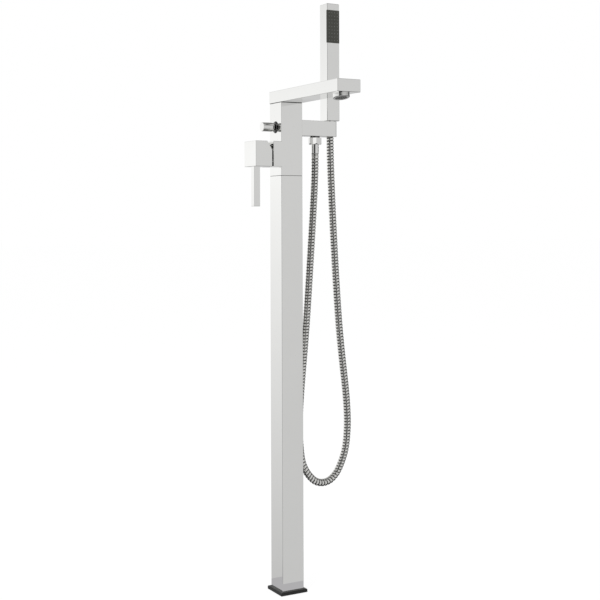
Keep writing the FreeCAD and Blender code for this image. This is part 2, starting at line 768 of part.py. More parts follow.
def make_driver():
    """The turning neck, the pin across it and the spindle that tilts on the pin."""
    mixer = ("0", "mixer_z")
    neck = rod("driver_neck", "x", mixer, ("neck_tip", "nut_back + neck_recess"), "neck_radius")
    half_slot = "spindle_width / 2 + slot_gap"
    slot = bar("driver_slot", ("neck_tip", "pivot_x + slot_depth"), (f"-({half_slot})", half_slot),
               ("mixer_z - slot_height / 2", "mixer_z + slot_height / 2"))
    pin_span = ("-neck_radius + pin_inset", "neck_radius - pin_inset")
    pin_hole = rod("driver_pin_hole", "y", ("pivot_x", "mixer_z"), pin_span, "pivot_pin")
    node(cut("driver_slotted", neck, slot, pin_hole), "cartridge_driver")
    node(rod("tilt_pin", "y", ("pivot_x", "mixer_z"), pin_span, "pivot_pin"), "spindle_pin")
    half = "spindle_width / 2"
    grip = bar("spindle_grip_bar", ("grip_end", "pivot_x + neck_end"), (f"-{half}", half),
               (f"mixer_z - {half}", f"mixer_z + {half}"))
    tail = bar("spindle_tail_bar", ("pivot_x", "pivot_x + spindle_tail"), (f"-{half}", half),
               ("mixer_z - spindle_tail_height / 2", "mixer_z + spindle_tail_height / 2"))
    eye = rod("spindle_eye", "y", ("pivot_x", "mixer_z"), (f"-{half}", half), "pivot_pin + running_gap")
    node(cut("spindle_bored", fuse("spindle_solid", grip, tail), eye), "cartridge_spindle")


# ---------------------------------------------------------------- handle

def make_handle():
    body = new_body("handle_body")
    outline = new_sketch(body, "YZ_Plane", "handle_outer")
    rectangle(outline, ("-mixer_half", "mixer_half"), ("mixer_z - mixer_half", "mixer_z + mixer_half"))
    pad(body, outline, "handle_depth")
    bevel = new_sketch(body, "XZ_Plane", "-mixer_half")
    polygon(bevel, [("handle_inner", "mixer_z + mixer_half - bevel_height"),
                    ("handle_inner", "mixer_z + mixer_half"),
                    ("handle_inner - bevel_depth", "mixer_z + mixer_half")])
    pocket(body, bevel, "mixer_width")
    soften(body, "Fillet", "body_edge", lambda edge: True)
    mixer = ("0", "mixer_z")
    half = "spindle_width / 2"
    tools = [
        rod("handle_recess", "x", mixer, ("recess_floor", "handle_inner"), "recess_radius"),
        bar("handle_socket", ("grip_end", "recess_floor"), (f"-{half}", half),
            (f"mixer_z - {half}", f"mixer_z + {half}")),
        rod("grub_hole", "y", ("grub_x", "mixer_z"), (half, "mixer_half"), "grub_radius"),
        rod("plug_hole", "y", ("grub_x", "mixer_z"), ("mixer_half - plug_depth", "mixer_half"),
            "plug_radius"),
        rod("stud_hole", "z", ("lever_x", "0"), ("lever_top", "lever_top + stud_length"), "stud_radius"),
    ]
    node(cut("handle_drilled", body, *tools), "handle_block")

    lever = new_body("lever_body")
    section = new_sketch(lever, "XY_Plane", "lever_end")
    rectangle(section, ("lever_x - lever_width / 2", "lever_x + lever_width / 2"),
              ("-lever_width / 2", "lever_width / 2"))
    pad(lever, section, "lever_length")
    soften(lever, "Fillet", "body_edge", lambda edge: not at_place(edge, "z", "lever_top"))
    stud = new_sketch(lever, "XY_Plane", "lever_top")
    circle(stud, "lever_x", "0", "stud_radius")
    pad(lever, stud, "stud_length")
    node(lever, "lever_bar")

    grub = rod("grub_blank", "y", ("grub_x", "mixer_z"), (half, f"{half} + grub_length"), "grub_radius")
    key = rod("grub_key", "y", ("grub_x", "mixer_z"), (f"{half} + grub_length / 2", f"{half} + grub_length"),
              "grub_radius / 2")
    node(cut("grub_keyed", grub, key), "handle_grub_screw")
    node(rod("screw_cap", "y", ("grub_x", "mixer_z"), ("mixer_half - plug_depth", "mixer_half"),
             "plug_radius"), "handle_screw_plug")


# ---------------------------------------------------------------- diverter

COIL_STEPS = 16
WIRE_SIDES = 12


def coil_section(x, turn):
    """The spring wire's many-sided section where the coil has reached a place and a turn."""
    wire, coil = size("spring_wire / 2"), size("spring_radius")
    corners = []
    for side in range(WIRE_SIDES + 1):
        angle = 2 * math.pi * side / WIRE_SIDES
        reach = coil + wire * math.cos(angle)
        corners.append(Vector(x + wire * math.sin(angle), reach * math.cos(turn), reach * math.sin(turn)))
    return Part.makePolygon(corners)


def make_diverter():
    at = ("0", "diverter_z")
    flange = taper("bush_flange", "x", at, ("flange_face", "-column_half"),
                   ("flange_front_radius", "flange_radius"))
    barrel = rod("bush_barrel", "x", at, ("-column_half", "bush_end"), "diverter_bore")
    bore = rod("bush_bore", "x", at, ("flange_face", "bush_end"), "stem_radius + running_gap")
    gland = rod("bush_gland", "x", at, ("bush_end - gland_depth", "bush_end"), "gland_radius")
    node(cut("bush_bored", fuse("bush_solid", flange, barrel), bore, gland), "diverter_bush")
    node(tube("gland_ring", "x", at, ("bush_end - gland_depth", "bush_end"), "gland_radius",
              "stem_radius + running_gap"), "diverter_gland_seal")
    node(rod("stem_rod", "x", at, ("knob_inner - knob_grip", "plunger_front"), "stem_radius"),
         "diverter_stem")
    node(tube("plunger_ring", "x", at, ("plunger_back", "plunger_front"), "plunger_radius",
              "stem_radius"), "diverter_plunger")

    knob = new_body("knob_body")
    outline = new_sketch(knob, "YZ_Plane", "knob_outer")
    circle(outline, "0", "diverter_z", "knob_radius")
    pad(knob, outline, "knob_length")
    soften(knob, "Fillet", "knob_round", lambda edge: at_place(edge, "x", "knob_inner"))
    soften(knob, "Fillet", "knob_rim", lambda edge: at_place(edge, "x", "knob_outer"))
    socket = new_sketch(knob, "YZ_Plane", "knob_inner - knob_grip")
    circle(socket, "0", "diverter_z", "stem_radius")
    pocket(knob, socket, "knob_grip")
    node(knob, "diverter_knob")

    low, high = size("bush_end + spring_wire / 2"), size("plunger_back - spring_wire / 2")
    steps = round(size("spring_turns") * COIL_STEPS)
    loops = [coil_section(low + (high - low) * step / steps, 2 * math.pi * step / COIL_STEPS)
             for step in range(steps + 1)]
    spring = doc.addObject("Part::Feature", "spring_coil")
    spring.Shape = Part.makeLoft(loops, True, True)
    spring.Placement = Placement(Vector(0, 0, size("diverter_z")), Rotation())
    node(spring, "diverter_spring")


# ---------------------------------------------------------------- spout

def make_spout():
    body = new_body("spout_body")
    outline = new_sketch(body, "XY_Plane", "spout_under")
    rectangle(outline, ("-spout_half", "spout_half"), ("spout_end", "spout_half"))
    pad(body, outline, "spout_thickness")
    soften(body, "Fillet", "spout_edge", lambda edge: True)
    aerator = ("0", "aerator_y")
    tools = [
        bar("waterway", ("-waterway_width / 2", "waterway_width / 2"),
            ("spout_end + spout_end_wall", "waterway_back"), ("waterway_low", "waterway_high")),
        rod("nipple_socket", "z", ("0", "0"), ("spout_under", "waterway_low"), "nipple_radius + nipple_gap"),
        tilted("aerator_hole", fuse(
            "aerator_hole_upright",
            rod("aerator_seat", "z", aerator, ("aerator_under", "shoulder_top"), "aerator_radius"),
            rod("aerator_socket", "z", aerator, ("spout_under", "aerator_top + aerator_washer"),
                "aerator_thread"),
            rod("aerator_mouth", "z", aerator, ("spout_under", "waterway_low + aerator_inlet_reach"),
                "insert_radius - washer_lip"))),
        rod("spout_screw_hole", "y", ("0", "spout_under + spout_screw_rise"),
            ("nipple_radius", "spout_half"), "screw_radius"),
    ]
    node(cut("spout_drilled", body, *tools), "spout")
    low, high = "post_top - spout_nipple_low", "spout_under + spout_nipple_high"
    ring_level = "spout_under + ring_rise"
    groove_radius = "nipple_radius + nipple_gap - ring_wire"
    stem = tube("nipple_tube", "z", ("0", "0"), (low, high), "nipple_radius", "spout_nipple_bore")
    groove = tube("nipple_groove", "z", ("0", "0"), (f"{ring_level} - ring_wire / 2",
                  f"{ring_level} + ring_wire / 2"), "nipple_radius + 1", groove_radius)
    node(cut("nipple_grooved", stem, groove), "spout_nipple")
    node(doughnut("nipple_ring", ("0", "0"), ring_level, f"{groove_radius} + ring_wire / 2", "ring_wire"),
         "spout_o_ring")
    node(rod("spout_screw", "y", ("0", "spout_under + spout_screw_rise"),
             ("nipple_radius", "spout_half - spout_screw_sink"), "screw_radius"), "spout_grub_screw")


def make_aerator():
    at = ("0", "aerator_y")
    body = new_body("aerator_body")
    outline = new_sketch(body, "XY_Plane", "aerator_under")
    circle(outline, "0", "aerator_y", "aerator_radius")
    pad(body, outline, "shoulder_top - aerator_under")
    soften(body, "Fillet", "aerator_edge", lambda edge: at_place(edge, "z", "aerator_under"))
    thread = new_sketch(body, "XY_Plane", "spout_under")
    circle(thread, "0", "aerator_y", "aerator_thread")
    pad(body, thread, "aerator_thread_length")
    bore = new_sketch(body, "XY_Plane", "insert_under")
    circle(bore, "0", "aerator_y", "insert_radius")
    pocket(body, bore, "aerator_top - insert_under")
    mouth = new_sketch(body, "XY_Plane", "aerator_under")
    circle(mouth, "0", "aerator_y", "insert_radius - insert_ledge")
    pocket(body, mouth, "aerator_lip")
    node(tilted("aerator_cup", body), "aerator_housing")
    barrel = rod("insert_barrel", "z", at, ("insert_under", "insert_under + insert_length"), "insert_radius")
    holes = []
    for ring, count in enumerate((1, 6, 12)):
        for step in range(count):
            angle = 360 * step / count
            place = (f"{ring} * insert_pitch * cos({angle} deg)",
                     f"aerator_y + {ring} * insert_pitch * sin({angle} deg)")
            holes.append(rod(f"insert_hole_{ring}_{step}", "z", place,
                             ("insert_under", "insert_under + insert_length"), "insert_hole"))
    node(tilted("insert_turned", cut("insert_drilled", barrel, *holes)), "aerator_insert")
    ring = tube("aerator_ring", "z", at, ("aerator_top", "aerator_top + aerator_washer"), "aerator_thread",
                "insert_radius - washer_lip")
    node(tilted("ring_turned", ring), "aerator_washer_ring")


# ---------------------------------------------------------------- hose outlet and hose ends

def make_outlet():
    at = ("outlet_reach", "0")
    nipple = fuse("outlet_solid",
                  rod("outlet_upper", "z", at, ("arm_under", "arm_under + nipple_depth"), "nipple_thread"),
                  rod("outlet_neck_rod", "z", at, ("neck_under", "arm_under"), "outlet_neck"),
                  rod("outlet_lower", "z", at, ("nipple_end", "neck_under"), "hose_thread"))
    bore = rod("outlet_bore", "z", at, ("nipple_end", "arm_under + nipple_depth"), "nipple_bore")
    pocket_top = "nipple_end + valve_length"
    seat = rod("outlet_seat", "z", at, ("nipple_end", pocket_top), "valve_radius")
    node(cut("outlet_bored", nipple, bore, seat), "outlet_nipple")
    node(tube("check_barrel", "z", at, ("nipple_end", pocket_top), "valve_radius", "valve_bore"),
         "non_return_valve")
    node(tube("outlet_washer", "z", at, ("washer_under", "nipple_end"), "hose_thread", "ferrule_bore"),
         "hose_washer_upper")
    nut = hexagon("hose_hexagon", at, ("hose_nut_under", "neck_under"), "hose_nut_width")
    nut.Placement = Placement(Vector(), Rotation(Vector(0, 0, 1), size("hose_nut_turn")))
    nut.setExpression("Placement.Rotation.Angle", bound("hose_nut_turn * 1 deg"))
    crown = taper("hose_nut_crown", "z", at, ("hose_nut_under", "hose_nut_under + hose_nut_width"),
                  ("hose_nut_width / 2 - nut_crown", "1.5 * hose_nut_width - nut_crown"))
    trimmed = doc.addObject("Part::Common", "hose_nut_trimmed")
    trimmed.Base = nut
    trimmed.Tool = crown
    mouth = rod("hose_nut_mouth", "z", at, ("flange_under", "neck_under"), "hose_thread")
    throat = rod("hose_nut_throat", "z", at, ("hose_nut_under", "flange_under"), "ferrule_radius")
    node(cut("hose_nut_bored", trimmed, mouth, throat), "hose_nut")
    sleeve = rod("upper_sleeve", "z", at, ("hose_start", "flange_under"), "ferrule_radius")
    flange = rod("upper_flange", "z", at, ("flange_under", "washer_under"), "hose_thread")
    hole = rod("upper_hole", "z", at, ("hose_start", "washer_under"), "ferrule_bore")
    node(cut("upper_bored", fuse("upper_solid", sleeve, flange), hole), "hose_ferrule_upper")


def make_hose_end():
    """The lower ferrule, which doesn't turn, and the cone nut that hangs in the fork."""
    at = ("holder_x", "0")
    cavity = "cone_cavity"
    thread = "hose_thread"
    sleeve = rod("lower_sleeve", "z", at, ("hose_finish", cavity), "ferrule_radius")
    flange = rod("lower_flange", "z", at, (cavity, f"{cavity} + ferrule_flange"),
                 f"{thread} - flange_gap")
    hole = rod("lower_hole", "z", at, ("hose_finish", f"{cavity} + ferrule_flange"), "ferrule_bore")
    node(cut("lower_bored", fuse("lower_solid", sleeve, flange), hole), "hose_ferrule_lower")
    cone = taper("cone_taper", "z", at, ("seat_level", "seat_level + cone_height"),
                 ("cone_small", "cone_large"))
    barrel = rod("cone_barrel", "z", at, ("seat_level + cone_height", "cone_nut_top"), "cone_large")
    mouth = rod("cone_mouth", "z", at, (cavity, "cone_nut_top"), thread)
    throat = rod("cone_throat", "z", at, ("seat_level", cavity), "ferrule_radius + running_gap")
    node(cut("cone_bored", fuse("cone_solid", cone, barrel), mouth, throat), "hose_cone_nut")
    node(tube("inlet_washer", "z", at, (f"{cavity} + ferrule_flange", "inlet_end"), thread, "ferrule_bore"),
         "hose_washer_lower")


# ---------------------------------------------------------------- handset

def make_handset():
    body = new_body("handset_shell")
    across = ("holder_x - handset_half", "holder_x + handset_half")
    outline = new_sketch(body, "XY_Plane", "handset_base")
    rectangle(outline, across, ("-handset_half", "handset_half"))
    pad(body, outline, "handset_length")
    soften(body, "Fillet", "handset_edge", lambda edge: True)
    window = new_sketch(body, "XZ_Plane", "handset_half - plate_thickness")
    rectangle(window, across, ("plate_low", "plate_high"))
    pocket(body, window, "plate_thickness")
    bevels = new_sketch(body, "YZ_Plane", "holder_x - handset_half")
    for edge, sign in (("plate_high", "+"), ("plate_low", "-")):
        polygon(bevels, [("-handset_half", edge), ("-handset_half", f"{edge} {sign} plate_bevel"),
                         ("-handset_half + plate_bevel", edge)])
    pocket(body, bevels, "handset_width")
    inner = "handset_half - handset_wall - plate_thickness"
    tools = [
        bar("handset_hollow_tool", (f"holder_x - ({inner})", f"holder_x + ({inner})"), (f"-({inner})", inner),
            ("handset_hollow", "handset_end - handset_top")),
        bar("plate_chamber", (f"holder_x - ({inner})", f"holder_x + ({inner})"),
            ("-handset_half", "0"), ("plate_low + handset_wall", "plate_high - handset_wall")),
        rod("handset_mouth", "z", ("holder_x", "0"), ("handset_base", "handset_hollow"), "hose_thread"),
    ]
    node(cut("handset_hollowed", body, *tools), "handset_body")
    at = ("holder_x", "0")
    tail_end = "handset_hollow + inlet_grip"
    threaded = rod("handset_thread", "z", at, ("inlet_end", "handset_hollow"), "hose_thread")
    stub = rod("handset_stub", "z", at, ("handset_hollow", tail_end), "water_tube_bore")
    bore = rod("handset_bore", "z", at, ("inlet_end", tail_end), "inlet_bore")
    node(cut("handset_inlet_bored", fuse("handset_inlet_solid", threaded, stub), bore), "handset_inlet")
    node(tube("inner_tube", "z", at, ("handset_hollow", "plate_low"), "water_tube", "water_tube_bore"),
         "handset_water_tube")

    plate = bar("plate_blank", ("holder_x - handset_half + plate_gap", "holder_x + handset_half - plate_gap"),
                ("plate_face", "plate_face + plate_thickness"), ("plate_low", "plate_high"))
    holes, teats = [], []
    columns, rows = 4, 9
    for column in range(columns):
        for row in range(rows):
            place = (f"holder_x + ({column - (columns - 1) / 2}) * nozzle_pitch_x",
                     f"(plate_low + plate_high) / 2 + ({row - (rows - 1) / 2}) * nozzle_pitch_z")
            name = f"{column}_{row}"
            holes.append(rod(f"nozzle_hole_{name}", "y", place, ("plate_face", "plate_face + plate_thickness"),
                             "nozzle_radius"))
            teats.append(rod(f"nozzle_{name}", "y", place,
                             ("plate_face - nozzle_proud", "plate_face + plate_thickness"), "nozzle_radius"))
    node(cut("plate_drilled", plate, *holes), "spray_plate")
    node(group("nozzle_set", *teats), "spray_nozzles")


# ---------------------------------------------------------------- hose

# The hose's route, chosen by hand: X, Y and the drop below the upper ferrule. The first and last points follow
# the ferrules; the others hang in one loop that passes behind the column's right edge.
HOSE_ROUTE = [
    (60.6, 0.2, 70.9), (58.3, 0.6, 110.9), (53.9, 1.9, 182.9), (49.2, 3.8, 262.9), (44.3, 6.2, 342.9),
    (38.0, 9.0, 418.9), (33.8, 10.6, 474.9), (32.0, 11.2, 522.9), (34.0, 9.8, 566.9), (37.4, 7.6, 591.9),
    (49.7, 5.6, 613.9), (66.6, 4.2, 628.9), (88.1, 2.6, 630.4), (106.5, 1.5, 618.3), (119.0, 0.6, 596.5),
    (129.0, 0.0, 568.5), (133.0, 0.0, 531.9), (133.2, 0.0, 504.9), (130.4, 0.0, 462.9), (122.2, 0.0, 397.9),
    (115.1, 0.0, 335.9), (108.6, 0.0, 247.9), (102.9, 0.0, 152.9), (98.9, 0.0, 72.9),
]
EXIT_RUN = 30.0
ARC_SHARE = 0.45
RIBS = 200
# Where a rib's four circles lie in its pitch: the groove's two, then the crown's two.
RIB_SHARES = (0.12, 0.30, 0.42, 1.0)


def hose_path():
    """Straight runs joined by tangent arcs; each arc is as large as its two runs allow."""
    top = Vector(size("outlet_reach"), 0, size("hose_start"))
    end = Vector(size("holder_x"), 0, size("hose_finish"))
    run = Vector(0, 0, -EXIT_RUN)
    hanging = [Vector(x, y, top.z - drop) for x, y, drop in HOSE_ROUTE]
    points = [top, top + run, *hanging, end + run, end]
    edges, radii = [], []
    start = points[0]
    for before, corner, after in zip(points, points[1:], points[2:]):
        back, ahead = before - corner, after - corner
        reach = ARC_SHARE * min(back.Length, ahead.Length)
        back.normalize()
        ahead.normalize()
        half_turn = (math.pi - back.getAngle(ahead)) / 2
        radius = reach / math.tan(half_turn)
        radii.append(radius)
        first, last = corner + back * reach, corner + ahead * reach
        bisector = (back + ahead).normalize()
        middle = corner + bisector * (radius / math.cos(half_turn) - radius)
        edges.append(Part.LineSegment(start, first).toShape())
        edges.append(Part.Arc(first, middle, last).toShape())
        start = last
    edges.append(Part.LineSegment(start, points[-1]).toShape())
    print("hose radii", [round(radius) for radius in radii])
    return edges


def ring(point, forward, steady, radius):
    """A circle square to a direction, its X axis as near as can be to the steady one."""
    across = (steady - forward * steady.dot(forward)).normalize()
    loop = Part.makeCircle(radius)
    loop.Placement = Placement(point, Rotation(across, forward.cross(across), forward, "ZXY"))
    return Part.Wire([loop])


def ring_at(edges, distance, radius):
    """A circle square to the path at a distance along it, its X axis always near the global Y."""
    for edge in edges:
        if distance <= edge.Length or edge is edges[-1]:
            break
        distance -= edge.Length
    spot = edge.getParameterByLength(min(distance, edge.Length))
    return ring(edge.valueAt(spot), edge.tangentAt(spot), Vector(0, 1, 0), radius)


def make_hose():
    edges = hose_path()
    length = sum(edge.Length for edge in edges)
    radius, bore = size("hose_radius"), size("hose_bore")
    ends = size("rib_free_end")
    pitch = (length - 2 * ends) / RIBS
    low = radius - size("rib_depth")
    rings = [ring_at(edges, 0, radius), ring_at(edges, ends, radius)]
    for number in range(RIBS):
        for share, reach in zip(RIB_SHARES, (low, low, radius, radius)):
            rings.append(ring_at(edges, ends + (number + share) * pitch, reach))
    rings.append(ring_at(edges, length, radius))
    outside = Part.makeLoft(rings, True, True)
    inside = Part.Wire(edges).makePipeShell([ring_at(edges, 0, bore)], True, False)
    hose = doc.addObject("Part::Feature", "hose_tube")
    hose.Shape = outside.cut(inside)
    node(hose, "shower_hose")
    plain = math.pi * (radius ** 2 - bore ** 2) * length
    print(f"hose length {length:.1f}, volume {hose.Shape.Volume:.0f}, plain tube {plain:.0f}, pitch {pitch:.2f}")


# ---------------------------------------------------------------- assembly

make_gasket()
make_bracket()
make_column()
make_screws()
make_square_seal("column_top_seal", "column_top", "column_half",
                 bar("column_seal_opening", ("-column_inside", "column_inside"),
                     ("-column_inside", "column_inside"), ("column_top", "post_base")))
make_tails()
make_valve_body()
make_cartridge()
make_driver()
make_handle()
make_diverter()
make_square_seal("spout_seal", "post_top", "column_half",
                 rod("spout_seal_opening", "z", ("0", "0"), ("post_top", "spout_under"), "nipple_radius"))
make_spout()
make_aerator()
make_outlet()
make_hose_end()
make_handset()
make_hose()
doc.recompute()

# ---------------------------------------------------------------- checks and files

for item in doc.Objects:
    if "Invalid" in item.State or "Error" in item.State:
        raise RuntimeError(f"{item.Name} did not build: {item.State}")
for item in nodes:
    if item.Shape.isNull() or not item.Shape.isValid() or not item.Shape.Solids:
        raise RuntimeError(f"{item.Label} has no valid solid")

os.makedirs("parts", exist_ok=True)
for item in nodes:
    item.Shape.exportStep(f"parts/{item.Label}.step")
    box = item.Shape.BoundBox
    print(f"{item.Label:22s} {len(item.Shape.Solids):3d} solids {item.Shape.Volume:10.0f} mm3"
          f"  X {box.XMin:8.2f} {box.XMax:8.2f}  Y {box.YMin:8.2f} {box.YMax:8.2f}"
          f"  Z {box.ZMin:8.2f} {box.ZMax:8.2f}")
print(len(nodes), "nodes")
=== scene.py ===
# %% [markdown]
# # A bath filler that stands on the floor
#
# The object is nearly all polished chrome: a square column with a square valve body on top, a flat spout, a
# lever handle, a small pull knob, and a handset on a ribbed hose. Chrome has almost no colour of its own. What
# the eye reads as chrome is the room that it mirrors, so this lesson spends its care on two things: clean
# shapes, and a studio for them to mirror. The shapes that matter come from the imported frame. The round pieces
# that show are turned again here, because a mirror finish shows every facet.

# %% Start
import json
import math

import bmesh
import bpy
from mathutils import Matrix, Vector


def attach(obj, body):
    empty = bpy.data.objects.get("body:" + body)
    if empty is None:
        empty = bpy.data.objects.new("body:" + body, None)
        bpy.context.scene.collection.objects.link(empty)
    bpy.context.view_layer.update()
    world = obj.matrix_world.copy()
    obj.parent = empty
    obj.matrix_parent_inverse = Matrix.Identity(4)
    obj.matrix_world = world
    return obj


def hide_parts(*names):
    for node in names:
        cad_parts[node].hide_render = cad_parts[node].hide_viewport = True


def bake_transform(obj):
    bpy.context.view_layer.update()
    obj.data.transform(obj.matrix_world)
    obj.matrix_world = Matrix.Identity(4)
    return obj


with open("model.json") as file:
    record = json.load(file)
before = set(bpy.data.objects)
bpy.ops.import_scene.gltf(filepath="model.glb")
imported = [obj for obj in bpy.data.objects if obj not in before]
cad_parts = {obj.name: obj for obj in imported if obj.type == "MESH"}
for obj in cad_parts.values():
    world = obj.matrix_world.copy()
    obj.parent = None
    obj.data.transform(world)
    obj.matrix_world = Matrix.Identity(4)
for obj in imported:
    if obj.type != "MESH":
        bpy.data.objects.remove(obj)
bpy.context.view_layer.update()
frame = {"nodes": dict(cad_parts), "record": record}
NODES = frame["nodes"]
MM = 0.001

# %% [markdown]
# ## The camera
#
# The photograph was taken from the left, level, from a little over two metres away. The vertical edges don't
# lean together, so the camera looks level and the picture is shifted instead of tilted: the horizon lies above
# the middle of the picture. The camera comes before any looks, because every later judgement is made through
# it. Its numbers come from matching a dozen corners of the column, the spout and the arm.

# %% Camera
PICTURE = 600
HORIZON_ROW = 220.2
CAMERA_PLACE = Vector((-1046.6, -1915.0, 696.2)) * MM
CAMERA_TURN = math.radians(-29.333)
CAMERA_ROLL = math.radians(0.183)
SENSOR = 36.0
FOCAL_ROWS = 1159.6
VIEW_DEPTH = 200

camera_data = bpy.data.cameras.new("camera")
camera_data.sensor_width = SENSOR
camera_data.lens = FOCAL_ROWS * SENSOR / PICTURE
camera_data.shift_y = (HORIZON_ROW - PICTURE / 2) / PICTURE
camera_data.clip_end = VIEW_DEPTH
camera = bpy.data.objects.new("camera", camera_data)
bpy.context.scene.collection.objects.link(camera)
camera.rotation_euler = (math.pi / 2, CAMERA_ROLL, CAMERA_TURN)
camera.location = CAMERA_PLACE
bpy.context.scene.camera = camera
FORWARD = Vector((-math.sin(CAMERA_TURN), math.cos(CAMERA_TURN), 0))
LEFTWARD = Vector((-FORWARD.y, FORWARD.x, 0))
print("lens", round(camera_data.lens, 2), "mm, looking along", tuple(round(x, 3) for x in FORWARD))

# %% [markdown]
# ## The hose's line
#
# The hose hangs from the nut under the arm, passes low in one loop and rises to the fork. It could be drawn
# as arcs, but a hanging hose has no arcs: its bend changes all the way. So the route's few points steer one
# NURBS curve. Order 3 keeps the curve close to its points, and the end points are reached because the curve is
# told to use them. Both settings come after the points, or Blender drops them.

# %% Hose line
HOSE_TOP = (62.5, 0.0, 822.9)
HOSE_END = (96.0, 0.0, 857.9)
HOSE_ROUTE = [
    HOSE_TOP, (62.5, 0.0, 792.9),
    (60.6, 0.2, 752.0), (58.3, 0.6, 712.0), (53.9, 1.9, 640.0), (49.2, 3.8, 560.0), (44.3, 6.2, 480.0),
    (38.0, 9.0, 404.0), (33.8, 10.6, 348.0), (32.0, 11.2, 300.0), (34.0, 9.8, 256.0), (37.4, 7.6, 231.0),
    (49.7, 5.6, 209.0), (66.6, 4.2, 194.0), (88.1, 2.6, 192.5), (106.5, 1.5, 204.6), (119.0, 0.6, 226.4),
    (129.0, 0.0, 254.4), (133.0, 0.0, 291.0), (133.2, 0.0, 318.0), (130.4, 0.0, 360.0), (122.2, 0.0, 425.0),
    (115.1, 0.0, 487.0), (108.6, 0.0, 575.0), (102.9, 0.0, 670.0), (98.9, 0.0, 750.0),
    (96.0, 0.0, 827.9), HOSE_END,
]
CURVE_STEPS = 24


def curve_points(name, spots):
    """The points that a NURBS curve through a route's neighbourhood passes, read back from Blender."""
    line = bpy.data.curves.new(name, "CURVE")
    line.dimensions = "3D"
    spline = line.splines.new("NURBS")
    spline.points.add(len(spots) - 1)
    for point, spot in zip(spline.points, spots):
        point.co = (*(value * MM for value in spot), 1)
    spline.order_u = 3
    spline.use_endpoint_u = True
    spline.resolution_u = CURVE_STEPS
    holder = bpy.data.objects.new(name, line)
    mesh = bpy.data.meshes.new_from_object(holder)
    points = [vertex.co.copy() for vertex in mesh.vertices]
    bpy.data.objects.remove(holder)
    bpy.data.curves.remove(line)
    bpy.data.meshes.remove(mesh)
    return points


def distances(points):
    """How far along the line each point lies."""
    run = [0.0]
    for a, b in zip(points, points[1:]):
        run.append(run[-1] + (b - a).length)
    return run


hose_line = curve_points("hose_line", HOSE_ROUTE)

# %% [markdown]
# ## Shader maths as Python
#
# Blender's shader graphs are made of nodes that pass values along links. Writing every node by hand hides the
# formula behind the wiring. A small class wraps one output socket, and its operators add the Math nodes, so a
# formula reads as a formula. The reflected operators make `1 - mask` work too. Every other node comes from one
# method, which takes the node's type, its settings and what goes into its sockets.

# %% Signals and nodes
class Signal:
    """One output socket. Arithmetic on it adds Math nodes and gives the result's socket."""

    def __init__(self, nodes, socket):
        self.nodes = nodes
        self.socket = socket

    def math(self, operation, *values):
        inputs = {place: value for place, value in enumerate(values)}
        return self.nodes.add("ShaderNodeMath", {"operation": operation}, inputs)

    def __add__(self, other):
        return self.math("ADD", self, other)

    def __radd__(self, other):
        return self.math("ADD", other, self)

    def __sub__(self, other):
        return self.math("SUBTRACT", self, other)

    def __rsub__(self, other):
        return self.math("SUBTRACT", other, self)

    def __mul__(self, other):
        return self.math("MULTIPLY", self, other)

    def __rmul__(self, other):
        return self.math("MULTIPLY", other, self)

    def __truediv__(self, other):
        return self.math("DIVIDE", self, other)

    def __neg__(self):
        return self.math("MULTIPLY", self, -1.0)

    def above(self, floor):
        return self.math("MAXIMUM", self, floor)

    def below(self, ceiling):
        return self.math("MINIMUM", self, ceiling)


class Nodes:
    """The node tree of one material or of the world."""

    def __init__(self, tree):
        self.tree = tree
        tree.nodes.clear()

    def add(self, kind, settings=None, inputs=None, output=0):
        node = self.tree.nodes.new(kind)
        for name, value in (settings or {}).items():
            if name == "stops":
                self.set_stops(node.color_ramp.elements, value)
            else:
                setattr(node, name, value)
        for name, value in (inputs or {}).items():
            if isinstance(value, Signal):
                self.tree.links.new(value.socket, node.inputs[name])
            else:
                node.inputs[name].default_value = value
        return Signal(self, node.outputs[output]) if node.outputs else None

    @staticmethod
    def set_stops(elements, stops):
        elements.remove(elements[1])
        elements[0].position = stops[0][0]
        for number, (place, shade) in enumerate(stops):
            element = elements[0] if number == 0 else elements.new(place)
            colour = shade if isinstance(shade, tuple) else (shade, shade, shade)
            element.color = (*colour, 1)


print("signals answer to + - * / and to above and below")

# %% [markdown]
# ## One way to make a finish
#
# Each finish is one material. They all share the same skeleton: one Principled shader whose fixed numbers are
# set on its own sockets, and a few inputs that change over the surface. The texture patterns are laid out in
# object coordinates, in metres, so a pattern keeps its real scale on every piece and needs no unwrapping.

# %% Finish helper
FINISHES = {}


def finish(name, fixed, varied):
    """A Principled material; `varied` gets its nodes and returns the inputs that change over the surface."""
    material = bpy.data.materials.new(name)
    material.use_nodes = True
    nodes = Nodes(material.node_tree)
    place = nodes.add("ShaderNodeTexCoord", output="Object")
    inputs = {**fixed, **varied(nodes, place)}
    surface = nodes.add("ShaderNodeBsdfPrincipled", inputs=inputs)
    nodes.add("ShaderNodeOutputMaterial", inputs={"Surface": surface})
    FINISHES[name] = material


def speckle(nodes, place, scale, detail=2.0, roughness=0.5):
    """Smooth noise from 0 to 1, with a number of waves for each metre."""
    return nodes.add("ShaderNodeTexNoise", inputs={
        "Vector": place, "Scale": scale, "Detail": detail, "Roughness": roughness})


def bump(nodes, height, distance, strength=1.0):
    return nodes.add("ShaderNodeBump", inputs={"Height": height, "Distance": distance, "Strength": strength})


def between(nodes, factor, low, high):
    """A colour that runs from one to the other; each is three numbers or a socket's signal."""
    low, high = (side if isinstance(side, Signal) else (*side, 1) for side in (low, high))
    return nodes.add("ShaderNodeMix", {"data_type": "RGBA"}, {0: factor, 6: low, 7: high}, output=2)
